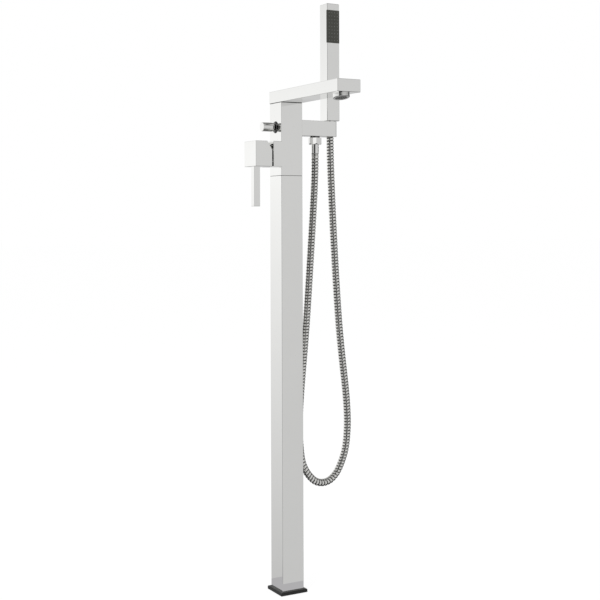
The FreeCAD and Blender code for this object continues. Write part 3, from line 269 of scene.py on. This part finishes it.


# %% [markdown]
# ## Chrome
#
# The real thing is brass, polished and plated. It is metal, nearly white, and it is a mirror: its roughness is
# close to nothing. A perfect mirror looks computed, though. Hands and cloths leave faint clouds that blur it
# here and there, so the roughness drifts by a few hundredths over some centimetres, and the plating has a very
# slight ripple that only bends the edges of what it mirrors. Faces that look down are painted greyer, most of
# all in the corner between the spout and the post: this is painted shade, which stands in for the darker
# things that the undersides mirror.

# %% Chrome
CHROME_COLOUR = (0.945, 0.945, 0.93)
CHROME_SHADOW = (0.92, 0.92, 0.905)
# The grey of the painted underside shade.
CHROME_PAINTED_UNDERSIDE_SHADE = (0.62, 0.62, 0.62)
CHROME_ROUGHNESS = 0.03
CHROME_SMEAR = 0.05
CHROME_RIPPLE = 0.000004


def chrome_surface(nodes, place):
    clouds = speckle(nodes, place, scale=28.0, detail=3.0)
    wipes = speckle(nodes, place, scale=140.0)
    facing = nodes.add("ShaderNodeTexCoord", output="Normal")
    facing_up = nodes.add("ShaderNodeSeparateXYZ", inputs={0: facing}, output=2)
    backwards = nodes.add("ShaderNodeSeparateXYZ", inputs={0: place}, output=1)
    # The painted underside shade starts 41 degrees off straight down and is full at straight down.
    down = (-facing_up * 4.0 - 3.0).above(0.0)
    # It falls from full at 36 mm before the column's axis to 0.3 at 100 mm before it: the painted shade is
    # strongest in the corner by the post.
    corner = (backwards * 11.0 + 1.4).above(0.3).below(1.0)
    plated = between(nodes, clouds, CHROME_SHADOW, CHROME_COLOUR)
    return {
        # Painted shade: faces that look down, near the post, take the darker underside colour.
        "Base Color": between(nodes, down * corner, plated, CHROME_PAINTED_UNDERSIDE_SHADE),
        "Roughness": CHROME_ROUGHNESS + clouds * wipes * CHROME_SMEAR,
        "Normal": bump(nodes, wipes, distance=CHROME_RIPPLE),
    }


finish("polished_chrome", {"Metallic": 1.0}, chrome_surface)
print("chrome is ready")

# %% [markdown]
# ## The hose's metal
#
# A shower hose is a strip of thin chromed brass, folded and wound so that each turn hooks into the next. Its
# crowns are bright, and the grooves between them hold shade and a little grime. The grooves are real geometry
# here, and the mesh carries a value that says how deep each point lies, so the colour can follow it: the
# grooves are painted dark, which is painted shade with a little grime.

# %% Hose metal
CROWN_COLOUR = (0.92, 0.915, 0.89)
# Painted shade with a little grime, for the bottoms of the grooves.
GROOVE_SHADE_AND_GRIME = (0.07, 0.068, 0.058)


def hose_surface(nodes, place):
    depth = nodes.add("ShaderNodeAttribute", {"attribute_name": "groove"}, output="Fac")
    grain = speckle(nodes, place, scale=900.0)
    return {
        # Painted shade with a little grime: the deeper a point lies in a groove, the darker it is painted.
        "Base Color": between(nodes, (depth * (0.8 + 0.4 * grain)).below(1.0), CROWN_COLOUR, GROOVE_SHADE_AND_GRIME),
        "Roughness": 0.05 + 0.05 * grain + 0.2 * depth,
    }


finish("hose_chrome", {"Metallic": 1.0}, hose_surface)
print("hose metal is ready")

# %% [markdown]
# ## Steel, brass and braid
#
# The bracket, the screws' steel and the stem are satin: a fine grain that widens the highlight. The supply nuts
# are turned brass, warmer, with the same kind of grain. The flange behind the knob and the neck above the
# hose's nut are plated too, but they are nearly black in the photograph, so their chrome is painted darker:
# this is painted shade and a painted dark reflection, for the dark surroundings that they mirror. The supply
# tails wear a braid of thin steel wires, which is two sets of stripes that cross at an angle.

# %% Steel, brass and braid
BRAID_GAP = (0.22, 0.22, 0.23)
BRAID_WIRE = (0.68, 0.68, 0.69)
BRAID_LANES = 900.0


def satin(low, high, roughness):
    """Varied inputs for a machined metal between two colours."""
    def surface(nodes, place):
        grain = speckle(nodes, place, scale=1500.0, detail=4.0)
        patch = speckle(nodes, place, scale=60.0)
        return {
            "Base Color": between(nodes, 0.5 * grain + 0.5 * patch, low, high),
            "Roughness": roughness + 0.12 * grain,
            "Normal": bump(nodes, grain, distance=0.00001),
        }
    return surface


def braid_surface(nodes, place):
    lane = nodes.add("ShaderNodeSeparateXYZ", inputs={0: place}, output=2) * BRAID_LANES
    wires = nodes.add("ShaderNodeTexWave", {"bands_direction": "DIAGONAL"},
                      {"Vector": place, "Scale": 220.0, "Distortion": 0.4})
    weave = wires * (lane.math("SINE", lane) * 0.5 + 0.5)
    return {
        "Base Color": between(nodes, weave, BRAID_GAP, BRAID_WIRE),
        "Roughness": 0.45 - 0.15 * weave,
        "Normal": bump(nodes, weave, distance=0.0002),
    }


finish("satin_steel", {"Metallic": 1.0}, satin((0.44, 0.44, 0.45), (0.60, 0.60, 0.61), roughness=0.25))
finish("turned_brass", {"Metallic": 1.0}, satin((0.62, 0.47, 0.22), (0.78, 0.63, 0.34), roughness=0.22))
# Painted shade: near-black chrome for the flange and the neck, which mirror dark surroundings.
finish("painted_shade_chrome", {"Metallic": 1.0}, satin((0.14, 0.14, 0.14), (0.22, 0.22, 0.215), roughness=0.08))
finish("steel_braid", {"Metallic": 1.0}, braid_surface)
print("steel, brass and braid are ready")

# %% [markdown]
# ## Rubber and plastics
#
# The gasket under the foot and the seals are black rubber: not quite black, matt, with a skin that is a little
# uneven. The spray plate is moulded in a dark grey plastic with a fine spark texture, and its nozzles are a
# softer rubber. The aerator's insert is a lighter grey. The inner parts of the cartridge are white plastic,
# smooth from the mould.

# %% Rubber and plastics
def moulded(low, high, roughness, scale, depth):
    """Varied inputs for something moulded, with a fine skin of its own."""
    def surface(nodes, place):
        skin = speckle(nodes, place, scale=scale, detail=4.0)
        patch = speckle(nodes, place, scale=35.0)
        return {
            "Base Color": between(nodes, patch, low, high),
            "Roughness": roughness + 0.15 * skin,
            "Normal": bump(nodes, skin, distance=depth),
        }
    return surface


finish("black_rubber", {"Specular IOR Level": 0.35},
       moulded((0.010, 0.010, 0.010), (0.020, 0.020, 0.019), roughness=0.30, scale=1200.0, depth=0.00005))
finish("seal_rubber", {"Specular IOR Level": 0.2},
       moulded((0.010, 0.010, 0.010), (0.020, 0.020, 0.020), roughness=0.6, scale=1200.0, depth=0.00005))
finish("nozzle_rubber", {"Specular IOR Level": 0.35},
       moulded((0.115, 0.115, 0.11), (0.16, 0.16, 0.155), roughness=0.45, scale=2500.0, depth=0.00004))
finish("plate_plastic", {"Specular IOR Level": 0.4},
       moulded((0.037, 0.038, 0.031), (0.051, 0.052, 0.043), roughness=0.40, scale=2500.0, depth=0.00004))
finish("insert_plastic", {"Specular IOR Level": 0.4},
       moulded((0.13, 0.13, 0.125), (0.19, 0.19, 0.185), roughness=0.40, scale=2500.0, depth=0.00004))
finish("white_plastic", {"Specular IOR Level": 0.5},
       moulded((0.80, 0.80, 0.78), (0.88, 0.88, 0.87), roughness=0.28, scale=1800.0, depth=0.00002))
print("rubber and plastics are ready")

# %% [markdown]
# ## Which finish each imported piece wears
#
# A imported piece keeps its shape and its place, and gets its finish by a change of material alone. The list
# goes by the record's slots, with a few pieces that differ from the rest of their slot: a seal that only shows
# as a line is darker than the gasket, because no light reaches it.

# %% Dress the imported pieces
SLOT_FINISH = {
    "chrome": "polished_chrome", "chrome_hose": "hose_chrome", "brass": "turned_brass", "steel": "satin_steel",
    "rubber": "seal_rubber", "black_plastic": "plate_plastic", "white_plastic": "white_plastic",
    "braid": "steel_braid",
}
# The neck above the hose's nut wears the near-black chrome, which is painted shade.
OWN_FINISH = {"floor_gasket": "black_rubber", "spray_nozzles": "nozzle_rubber",
              "aerator_insert": "insert_plastic", "outlet_nipple": "painted_shade_chrome"}
EDGE_ANGLE = math.radians(32)


def wear(thing, finish_name):
    """Gives an object one finish, smooth across gentle edges and crisp at sharp ones."""
    thing.data.materials.clear()
    thing.data.materials.append(FINISHES[finish_name])
    thing.data.polygons.foreach_set("use_smooth", [True] * len(thing.data.polygons))
    thing.data.set_sharp_from_angle(angle=EDGE_ANGLE)


slot_of = {row["node"]: row["material_slot"] for row in frame["record"]["subparts"]}
for name, thing in NODES.items():
    wear(thing, OWN_FINISH.get(name, SLOT_FINISH[slot_of[name]]))
print("dressed", len(NODES), "packed pieces")

# %% [markdown]
# ## Turned pieces
#
# The knob, its flange, the domed cover behind the handle, the aerator and the hose's upper ferrule all came off
# a lathe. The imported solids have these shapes, but in facets, and polished metal turns each facet into a
# stripe. A lathe needs only an outline and an axis, so that is what one function takes: the outline gives
# places along the axis and radii, in millimetres, and each corner may be rounded. A rounded corner is drawn
# as a short curve between two points a little way along its two edges, and each flat run keeps its own normals
# because one more point stands close behind the curve.

# %% The lathe
TURN_SIDES = 96
ROUND_STEPS = 8
HOLD = 0.04


def rounded(outline):
    """A closed outline of (place, radius) or (place, radius, rounding) with its corners rounded."""
    points = []
    for number, corner in enumerate(outline):
        spot = Vector(corner[:2])
        if len(corner) == 2:
            points.append(spot)
            continue
        before = Vector(outline[number - 1][:2])
        after = Vector(outline[(number + 1) % len(outline)][:2])
        back, ahead = (before - spot).normalized(), (after - spot).normalized()
        reach = corner[2]
        points.append(spot + back * (reach + HOLD))
        for step in range(ROUND_STEPS + 1):
            share = step / ROUND_STEPS
            points.append(spot + back * reach * (1 - share) ** 2 + ahead * reach * share ** 2)
        points.append(spot + ahead * (reach + HOLD))
    return points


def lathe(skin, axis, centre, outline, sides=TURN_SIDES):
    """Spins a closed outline round an axis into a bmesh; a radius of nothing becomes one point."""
    rings = []
    for place, radius in rounded(outline):
        ring = []
        for step in range(sides if radius > 1e-6 else 1):
            angle = 2 * math.pi * step / sides
            u, v = radius * math.cos(angle), radius * math.sin(angle)
            spot = {"x": (place, centre[0] + u, centre[1] + v),
                    "y": (centre[0] + u, place, centre[1] + v),
                    "z": (centre[0] + u, centre[1] + v, place)}[axis]
            ring.append(skin.verts.new([value * MM for value in spot]))
        rings.append(ring)
    for ring, following in zip(rings, rings[1:] + rings[:1]):
        if len(ring) == 1 and len(following) == 1:
            continue
        for step in range(sides):
            corners = [ring[step % len(ring)], following[step % len(following)],
                       following[(step + 1) % len(following)], ring[(step + 1) % len(ring)]]
            skin.faces.new(list(dict.fromkeys(corners)))


def made(name, body, finish_name, stands_for, build):
    """One new piece: `build` fills a bmesh, and the rest is its finish, its body and the node it stands for."""
    mesh, skin = bpy.data.meshes.new(name), bmesh.new()
    build(skin)
    bmesh.ops.recalc_face_normals(skin, faces=skin.faces)
    skin.to_mesh(mesh)
    skin.free()
    thing = bpy.data.objects.new(name, mesh)
    bpy.context.scene.collection.objects.link(thing)
    wear(thing, finish_name)
    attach(thing, body)
    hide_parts(stands_for)
    return thing


print("the lathe turns in", TURN_SIDES, "steps")

# %% [markdown]
# ### The diverter's knob and flange
#
# The knob is a plain rod with a slight rim outside and a bullet-like nose towards the body. The nose nearly
# touches a shallow cone, the flange of the bush that the knob's stem slides in.

# %% Knob and flange
DIVERTER_AXIS = (0.0, 870.3)
KNOB = [(-51.3, 0), (-51.3, 8.5, 0.8), (-26.3, 8.5, 5.6), (-26.3, 2.55), (-40.3, 2.55), (-40.3, 0)]
BUSH = [(-25.5, 2.55, 0.2), (-25.5, 8.8, 0.5), (-22.5, 11.3), (-22.5, 9.0), (-6, 9.0), (-6, 5.0), (-9, 5.0),
        (-9, 2.55)]

made("pull_knob", "diverter", "polished_chrome", "diverter_knob",
     lambda skin: lathe(skin, "x", DIVERTER_AXIS, KNOB))
# The flange wears the near-black chrome: painted shade.
made("knob_flange", "root", "painted_shade_chrome", "diverter_bush",
     lambda skin: lathe(skin, "x", DIVERTER_AXIS, BUSH))
print("the knob is", KNOB[2][0] - KNOB[0][0], "mm long")

# %% [markdown]
# ### The domed cover
#
# Between the handle and its housing a narrow gap opens into a V. Behind it sits a chromed dome that hides the
# cartridge, a slice of a ball with a hole for the turning neck. Its outline is an arc, so the points of that
# arc are worked out from the ball's radius. Places are measured along the handle's axis, which points left.

# %% Domed cover
MIXER_AXIS = (0.0, 819.3)
DOME_RADIUS = 19.2
DOME_TIP, DOME_FOOT = -46.5, -39.1
DOME_FOOT_RADIUS = 18.0
DOME_CENTRE = DOME_FOOT + math.sqrt(DOME_RADIUS ** 2 - DOME_FOOT_RADIUS ** 2)
DOME_STEPS = 12
COVER_HOLE, COVER_RADIUS, COVER_BACK = 12.6, 19.8, -33.0


def dome_outline():
    """From the hole's edge over the ball to the housing, then back inside."""
    arc = []
    for step in range(DOME_STEPS + 1):
        place = DOME_TIP + (DOME_FOOT - DOME_TIP) * step / DOME_STEPS
        arc.append((place, math.sqrt(DOME_RADIUS ** 2 - (place - DOME_CENTRE) ** 2)))
    return [(DOME_TIP, COVER_HOLE), *arc, (DOME_FOOT, COVER_RADIUS), (COVER_BACK, COVER_RADIUS),
            (COVER_BACK, COVER_HOLE)]


made("cover_dome", "root", "polished_chrome", "cartridge_cover",
     lambda skin: lathe(skin, "x", MIXER_AXIS, dome_outline()))
print("the dome stands", round(DOME_FOOT - DOME_TIP, 1), "mm proud")

# %% [markdown]
# ### The aerator and the ferrule
#
# The aerator's housing is a short cup screwed into the spout, with a generous round at its mouth. The whole
# cup leans, so that the water leaves a little forwards, and it sinks into the spout at the front. The ferrule
# is a plain sleeve that grips the hose below the nut, with its flange hidden inside the nut.

# %% Aerator and ferrule
AERATOR_AXIS = (0.0, -198.3)
OUTLET_AXIS = (62.5, 0.0)
AERATOR_LEAN = math.radians(-12)
SPOUT_UNDER = 916.0
AERATOR = [(907.6, 10.4, 0.4), (907.6, 14.8, 1.2), (920.0, 14.8), (920.0, 12.0), (924.0, 12.0), (924.0, 11.0),
           (908.8, 11.0), (908.8, 10.4)]
FERRULE = [(822.9, 4.5), (822.9, 7.4, 0.6), (842.4, 7.4), (842.4, 10.3), (843.9, 10.3), (843.9, 4.5)]


def leaning_cup(skin):
    lathe(skin, "z", AERATOR_AXIS, AERATOR)
    hinge = Vector((*AERATOR_AXIS, SPOUT_UNDER)) * MM
    bmesh.ops.rotate(skin, verts=skin.verts, cent=hinge, matrix=Matrix.Rotation(AERATOR_LEAN, 3, "X"))


made("aerator_cup", "root", "polished_chrome", "aerator_housing", leaning_cup)
ferrule = made("ferrule_sleeve", "root", "polished_chrome", "hose_ferrule_upper",
               lambda skin: lathe(skin, "z", OUTLET_AXIS, FERRULE))
print("the aerator is", 2 * AERATOR[1][1], "mm across")

# %% [markdown]
# ### The handset's shell
#
# Above and below the spray plate the shell has a bevel. Wide bevels mirror the plate's black edges and make it
# look longer than it does in the photograph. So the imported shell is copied, and the bevels' outer edges are
# drawn in until only a thin line is left.

# %% Handset shell
PLATE_ENDS = (1035.1, 1097.1)
BEVEL = 2.2
BEVEL_SHARE_KEPT = 0.15
ON_BEVEL = 0.05


def narrow_bevels(skin):
    shell = NODES["handset_body"]
    skin.from_mesh(shell.data)
    skin.transform(shell.matrix_world)
    front = min(vertex.co.y for vertex in skin.verts)
    for vertex in skin.verts:
        for end, way in zip(PLATE_ENDS, (-1, 1)):
            past = (vertex.co.z / MM - end) * way
            deep = (vertex.co.y - front) / MM
            if past > ON_BEVEL and abs(past + deep - BEVEL) < ON_BEVEL:
                vertex.co.z = (end + way * past * BEVEL_SHARE_KEPT) * MM


made("handset_shell", "handset", "polished_chrome", "handset_body", narrow_bevels)
print("the bevels are", round(BEVEL * BEVEL_SHARE_KEPT, 2), "mm high")

# %% [markdown]
# ### The nozzles
#
# The spray plate has four columns of nine soft teats. Each is a tiny dome on a short stalk with a hole in its
# tip. One bmesh holds them all, because they are one moulding behind the plate.

# %% Nozzles
NOZZLE_COLUMNS, NOZZLE_ROWS = 4, 9
NOZZLE_PITCH = (6.0, 6.6)
NOZZLE_SIDES = 20
PLATE_CENTRE = (96.0, 1066.1)
NOZZLE = [(-11.2, 0), (-11.2, 1.1), (-13.9, 1.1), (-14.1, 1.02), (-14.24, 0.85), (-14.3, 0.6), (-14.3, 0.4),
          (-13.6, 0.35), (-13.6, 0)]


def nozzle_field(skin):
    for column in range(NOZZLE_COLUMNS):
        for row in range(NOZZLE_ROWS):
            x = PLATE_CENTRE[0] + (column - (NOZZLE_COLUMNS - 1) / 2) * NOZZLE_PITCH[0]
            z = PLATE_CENTRE[1] + (row - (NOZZLE_ROWS - 1) / 2) * NOZZLE_PITCH[1]
            lathe(skin, "y", (x, z), NOZZLE, sides=NOZZLE_SIDES)


made("nozzle_teats", "handset", "nozzle_rubber", "spray_nozzles", nozzle_field)
print("the plate has", NOZZLE_COLUMNS * NOZZLE_ROWS, "nozzles")

# %% [markdown]
# ## The ribbed hose
#
# The hose's skin could be a bump on a smooth tube, but its edge shows against the white background, and there a
# bump does nothing. So the ribs are geometry. A strip is wound round a tube, so its groove is a helix, not a
# row of rings: each column of points starts a little further along than the one before, and after one turn
# the columns meet the next rib. Both ends close in a plain ring, and the first turn's groove is shallow, as if
# the ferrule had pressed it flat.

# %% Ribbed hose
HOSE_RADIUS = 7.0 * MM
RIB_PITCH = 5.9 * MM
GROOVE_DEPTH = 1.1 * MM
HOSE_SIDES = 28
PLAIN_END = 0.6 * MM
FIRST_TURN_SHARE = 0.3
RIB_ANGLE = math.radians(70)
# One rib of the wound strip: share of the pitch, and share of the groove's depth there.
RIB_SHAPE = [(0.00, 1.0), (0.13, 1.0), (0.21, 0.28), (0.30, 0.04),
             (0.46, 0.0), (0.66, 0.0), (0.82, 0.04), (0.92, 0.28)]


def line_frames(points):
    """A direction and two square ones at each point, carried along so that they never twist."""
    side = Vector((0, 1, 0))
    frames = []
    for index in range(len(points)):
        ahead = (points[min(index + 1, len(points) - 1)] - points[max(index - 1, 0)]).normalized()
        side = (side - ahead * side.dot(ahead)).normalized()
        frames.append((ahead, side, ahead.cross(side)))
    return frames


def sample(points, run, frames, distance):
    """The place and the two square directions at a distance along the line."""
    low, high = 0, len(run) - 1
    while high - low > 1:
        middle = (low + high) // 2
        low, high = (middle, high) if run[middle] <= distance else (low, middle)
    share = (distance - run[low]) / max(run[high] - run[low], 1e-9)
    blend = [a.lerp(b, share) for a, b in zip(frames[low], frames[high])]
    return points[low].lerp(points[high], share), blend[1].normalized(), blend[2].normalized()


def wound_tube(name, points):
    """A tube with a helical groove, which follows a line from end to end."""
    run, frames = distances(points), line_frames(points)
    length = run[-1]
    turns = round((length - 2 * PLAIN_END) / RIB_PITCH)
    pitch = (length - 2 * PLAIN_END) / turns
    rows = [(0.0, 0.0)]
    for turn in range(turns):
        cut = FIRST_TURN_SHARE if turn == 0 else 1.0
        rows += [(PLAIN_END + (turn + share) * pitch, depth * cut) for share, depth in RIB_SHAPE]
    rows.append((length, 0.0))
    mesh, skin = bpy.data.meshes.new(name), bmesh.new()
    groove = skin.verts.layers.float.new("groove")
    rings = []
    for index, (distance, depth) in enumerate(rows):
        ring = []
        radius = HOSE_RADIUS - GROOVE_DEPTH * depth
        for step in range(HOSE_SIDES):
            slide = step / HOSE_SIDES * pitch if 1 < index < len(rows) - 1 else 0
            centre, across, up = sample(points, run, frames, min(distance + slide, length))
            angle = 2 * math.pi * step / HOSE_SIDES
            vertex = skin.verts.new(centre + (across * math.cos(angle) + up * math.sin(angle)) * radius)
            vertex[groove] = depth
            ring.append(vertex)
        rings.append(ring)
    period = len(RIB_SHAPE)
    for index, (ring, following) in enumerate(zip(rings, rings[1:])):
        for step in range(HOSE_SIDES):
            beyond = (step + 1) % HOSE_SIDES
            # The last column meets the first one a turn further on.
            lift = period if beyond == 0 and 0 < index < len(rings) - 2 - period else 0
            skin.faces.new((ring[step], following[step],
                            rings[index + 1 + lift][beyond], rings[index + lift][beyond]))
    skin.faces.new(reversed(rings[0]))
    skin.faces.new(rings[-1])
    skin.to_mesh(mesh)
    skin.free()
    thing = bpy.data.objects.new(name, mesh)
    bpy.context.scene.collection.objects.link(thing)
    return thing, turns


hose, hose_turns = wound_tube("shower_hose_skin", hose_line)
print("the hose has", hose_turns, "turns and", len(hose.data.polygons), "faces")
wear(hose, "hose_chrome")
hose.data.set_sharp_from_angle(angle=RIB_ANGLE)
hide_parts("shower_hose")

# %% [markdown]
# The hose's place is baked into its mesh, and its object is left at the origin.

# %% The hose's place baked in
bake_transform(hose)

# %% [markdown]
# ## The studio
#
# Polished metal shows its surroundings, so the studio is designed as a photographer would: a large white
# screen on the left and behind, a grey one on the right, and dark gaps where the camera stands and far to the
# right. The white sides become the bright faces, the grey one the calmer fronts, and the dark gaps draw the
# black lines on everything round. It is one formula on the world's direction: a ramp round the compass, which
# darkens towards the ground and the ceiling. Far down it is black behind the object and pale before it, and
# straight above hangs a dark strip with paler edges behind and before. Both draw long lines on round pieces
# that lie flat. Only mirrored rays see this. The camera sees plain white, and soft surfaces get an even light.

# %% The world
COMPASS = [
    (-180, 0.66), (-172, 0.60), (-163, 0.12), (-124, 0.12), (-104, 0.50), (-80, 0.63), (-58, 0.64),
    (-28, 0.63), (-16, 0.55), (-12, 0.03), (28, 0.03), (33, 0.92), (60, 1.0), (150, 0.99), (164, 0.80),
    (180, 0.66),
]
GROUND_FALL = [(-180, 0.3), (-58, 0.25), (30, 0.6), (80, 1.25), (150, 1.25), (180, 0.3)]
GROUND_START = 0.05
GROUND_DEPTH = 0.42
GROUND = 0.04
PALE_GROUND = 0.62
STEEP_START, STEEP_WIDTH = 0.40, 0.12
DARK_BEYOND, DARK_BEYOND_WIDTH = -0.34, 0.14
DARK_LEFT, DARK_LEFT_WIDTH = 0.1, 0.15
CEILING_START = 0.06
CEILING_DEPTH = 0.2
CEILING = 0.17
SKY_START, SKY_WIDTH = 0.50, 0.25
BEHIND_START, BEHIND_GAIN = 0.10, 0.55
BEFORE_START, BEFORE_GAIN, BEFORE_DEPTH = 0.36, 3.5, 0.14
SOFT_LIGHT = 0.78


def around(stops):
    """Ramp stops from degrees, where 0 is towards the camera and 90 is on its left."""
    return [(0.5 + degrees / 360, shade) for degrees, shade in stops]


world = bpy.data.worlds.new("studio")
bpy.context.scene.world = world
world.use_nodes = True
nodes = Nodes(world.node_tree)
direction = nodes.add("ShaderNodeTexCoord", output="Generated")


def along(way):
    return nodes.add("ShaderNodeVectorMath", {"operation": "DOT_PRODUCT"},
                     {0: direction, 1: way}, output="Value")


def climb(value, start, width):
    """From 0 at the start to 1 a width further on."""
    return ((value - start) / width).above(0.0).below(1.0)


turn = along(LEFTWARD).math("ARCTAN2", along(LEFTWARD), along(-FORWARD)) / (2 * math.pi) + 0.5
rise = along(Vector((0, 0, 1)))
walls = nodes.add("ShaderNodeValToRGB", {"stops": around(COMPASS)}, {0: turn})
fall = nodes.add("ShaderNodeValToRGB", {"stops": around(GROUND_FALL)}, {0: turn})
beyond, leftward = along(FORWARD), along(LEFTWARD)
dark_side = climb(beyond, DARK_BEYOND, DARK_BEYOND_WIDTH).above(climb(leftward, DARK_LEFT, DARK_LEFT_WIDTH))
low_ground = GROUND * dark_side + PALE_GROUND * (1.0 - dark_side)
steep = climb(-rise, STEEP_START, STEEP_WIDTH)
below_eye = (GROUND_START - rise).above(0.0).below(GROUND_DEPTH)
above_eye = (rise - CEILING_START).above(0.0).below(CEILING_DEPTH)
falling = walls * (1.0 - fall * (below_eye + above_eye))
grounded = falling * (1.0 - steep) + low_ground * steep
open_sky = climb(rise, SKY_START, SKY_WIDTH)
behind = (beyond - BEHIND_START).above(0.0)
before = (-BEFORE_START - beyond).above(0.0).below(BEFORE_DEPTH)
overhead = CEILING + BEHIND_GAIN * behind + BEFORE_GAIN * before
mirrored = grounded * (1.0 - open_sky) + overhead * open_sky
is_camera = nodes.add("ShaderNodeLightPath", output="Is Camera Ray")
is_glossy = nodes.add("ShaderNodeLightPath", output="Is Glossy Ray")
is_through = nodes.add("ShaderNodeLightPath", output="Is Transmission Ray")
seen = (is_camera + is_through).below(1.0)
light = seen + (1.0 - seen) * (is_glossy * mirrored + (1.0 - is_glossy) * SOFT_LIGHT)
background = nodes.add("ShaderNodeBackground", inputs={"Color": (1, 1, 1, 1), "Strength": light})
nodes.add("ShaderNodeOutputWorld", inputs={"Surface": background})
print("the studio has", len(COMPASS), "screens and gaps")

# %% [markdown]
# ## The floor and the lamps
#
# The floor is plain and pale. Seen directly it is nearly all its own white, so the picture stays clean to the
# horizon, and the rest is a matt surface that takes the object's faint shadow. Two soft lamps give the black
# rubber and the plastics some shape. They don't show in the chrome, which mirrors the studio alone.

# %% Floor and lamps
FLOOR_SPAN = 60.0
FLOOR_COLOUR = (0.86, 0.86, 0.86)
FLOOR_WHITE = 1.06
FLOOR_SHADE_SHARE = 0.16

floor_mesh = bpy.data.meshes.new("floor")
half = FLOOR_SPAN / 2
floor_mesh.from_pydata([(-half, -half, 0), (half, -half, 0), (half, half, 0), (-half, half, 0)], [],
                       [(0, 1, 2, 3)])
floor = bpy.data.objects.new("floor", floor_mesh)
bpy.context.scene.collection.objects.link(floor)
floor.visible_glossy = False
floor_look = bpy.data.materials.new("pale_floor")
floor_look.use_nodes = True
nodes = Nodes(floor_look.node_tree)
matt = nodes.add("ShaderNodeBsdfDiffuse", inputs={"Color": (*FLOOR_COLOUR, 1)})
own_white = nodes.add("ShaderNodeEmission", inputs={"Color": (1, 1, 1, 1), "Strength": FLOOR_WHITE})
is_camera = nodes.add("ShaderNodeLightPath", output="Is Camera Ray")
mixed = nodes.add("ShaderNodeMixShader", inputs={0: is_camera * (1 - FLOOR_SHADE_SHARE), 1: matt, 2: own_white})
nodes.add("ShaderNodeOutputMaterial", inputs={"Surface": mixed})
floor_mesh.materials.append(floor_look)


def card(name, corners, shade):
    """A flat sheet that only the polished metal shows, as a photographer's reflector cards do."""
    mesh = bpy.data.meshes.new(name)
    mesh.from_pydata([[value * MM for value in corner] for corner in corners], [], [(0, 1, 2, 3)])
    sheet = bpy.data.objects.new(name, mesh)
    bpy.context.scene.collection.objects.link(sheet)
    for sight in ("visible_camera", "visible_diffuse", "visible_shadow", "visible_transmission"):
        setattr(sheet, sight, False)
    look = bpy.data.materials.new(name)
    look.use_nodes = True
    nodes = Nodes(look.node_tree)
    glow = nodes.add("ShaderNodeEmission", inputs={"Color": (*shade, 1), "Strength": 1.0})
    nodes.add("ShaderNodeOutputMaterial", inputs={"Surface": glow})
    mesh.materials.append(look)


# One grey sheet lies round the foot, and one pale sheet stands beside the handset's head.
card("foot_card", [(-240, -80, 0.2), (75, -80, 0.2), (75, 78, 0.2), (-240, 78, 0.2)], (0.46, 0.455, 0.47))
card("head_card", [(150, -60, 960), (150, 20, 960), (150, 20, 1180), (150, -60, 1180)], (0.70, 0.70, 0.69))


def soft_lamp(name, place, aim, span, watts):
    data = bpy.data.lights.new(name, "AREA")
    data.shape = "DISK"
    data.size = span
    data.energy = watts
    lamp = bpy.data.objects.new(name, data)
    bpy.context.scene.collection.objects.link(lamp)
    lamp.location = place
    lamp.rotation_euler = (Vector(aim) - Vector(place)).to_track_quat("-Z", "Y").to_euler()
    lamp.visible_glossy = False


soft_lamp("left_lamp", place=(-2.6, -1.6, 2.4), aim=(0, 0, 0.6), span=1.6, watts=38)
soft_lamp("right_lamp", place=(2.2, -2.4, 1.8), aim=(0, 0, 0.6), span=1.6, watts=20)
print("the floor and two lamps are up")

# %% [markdown]
# ## The end of the script
#
# The scene keeps the plain Standard view, in which a colour renders about as it is written.

# %% Finish
bpy.context.scene.view_settings.view_transform = "Standard"
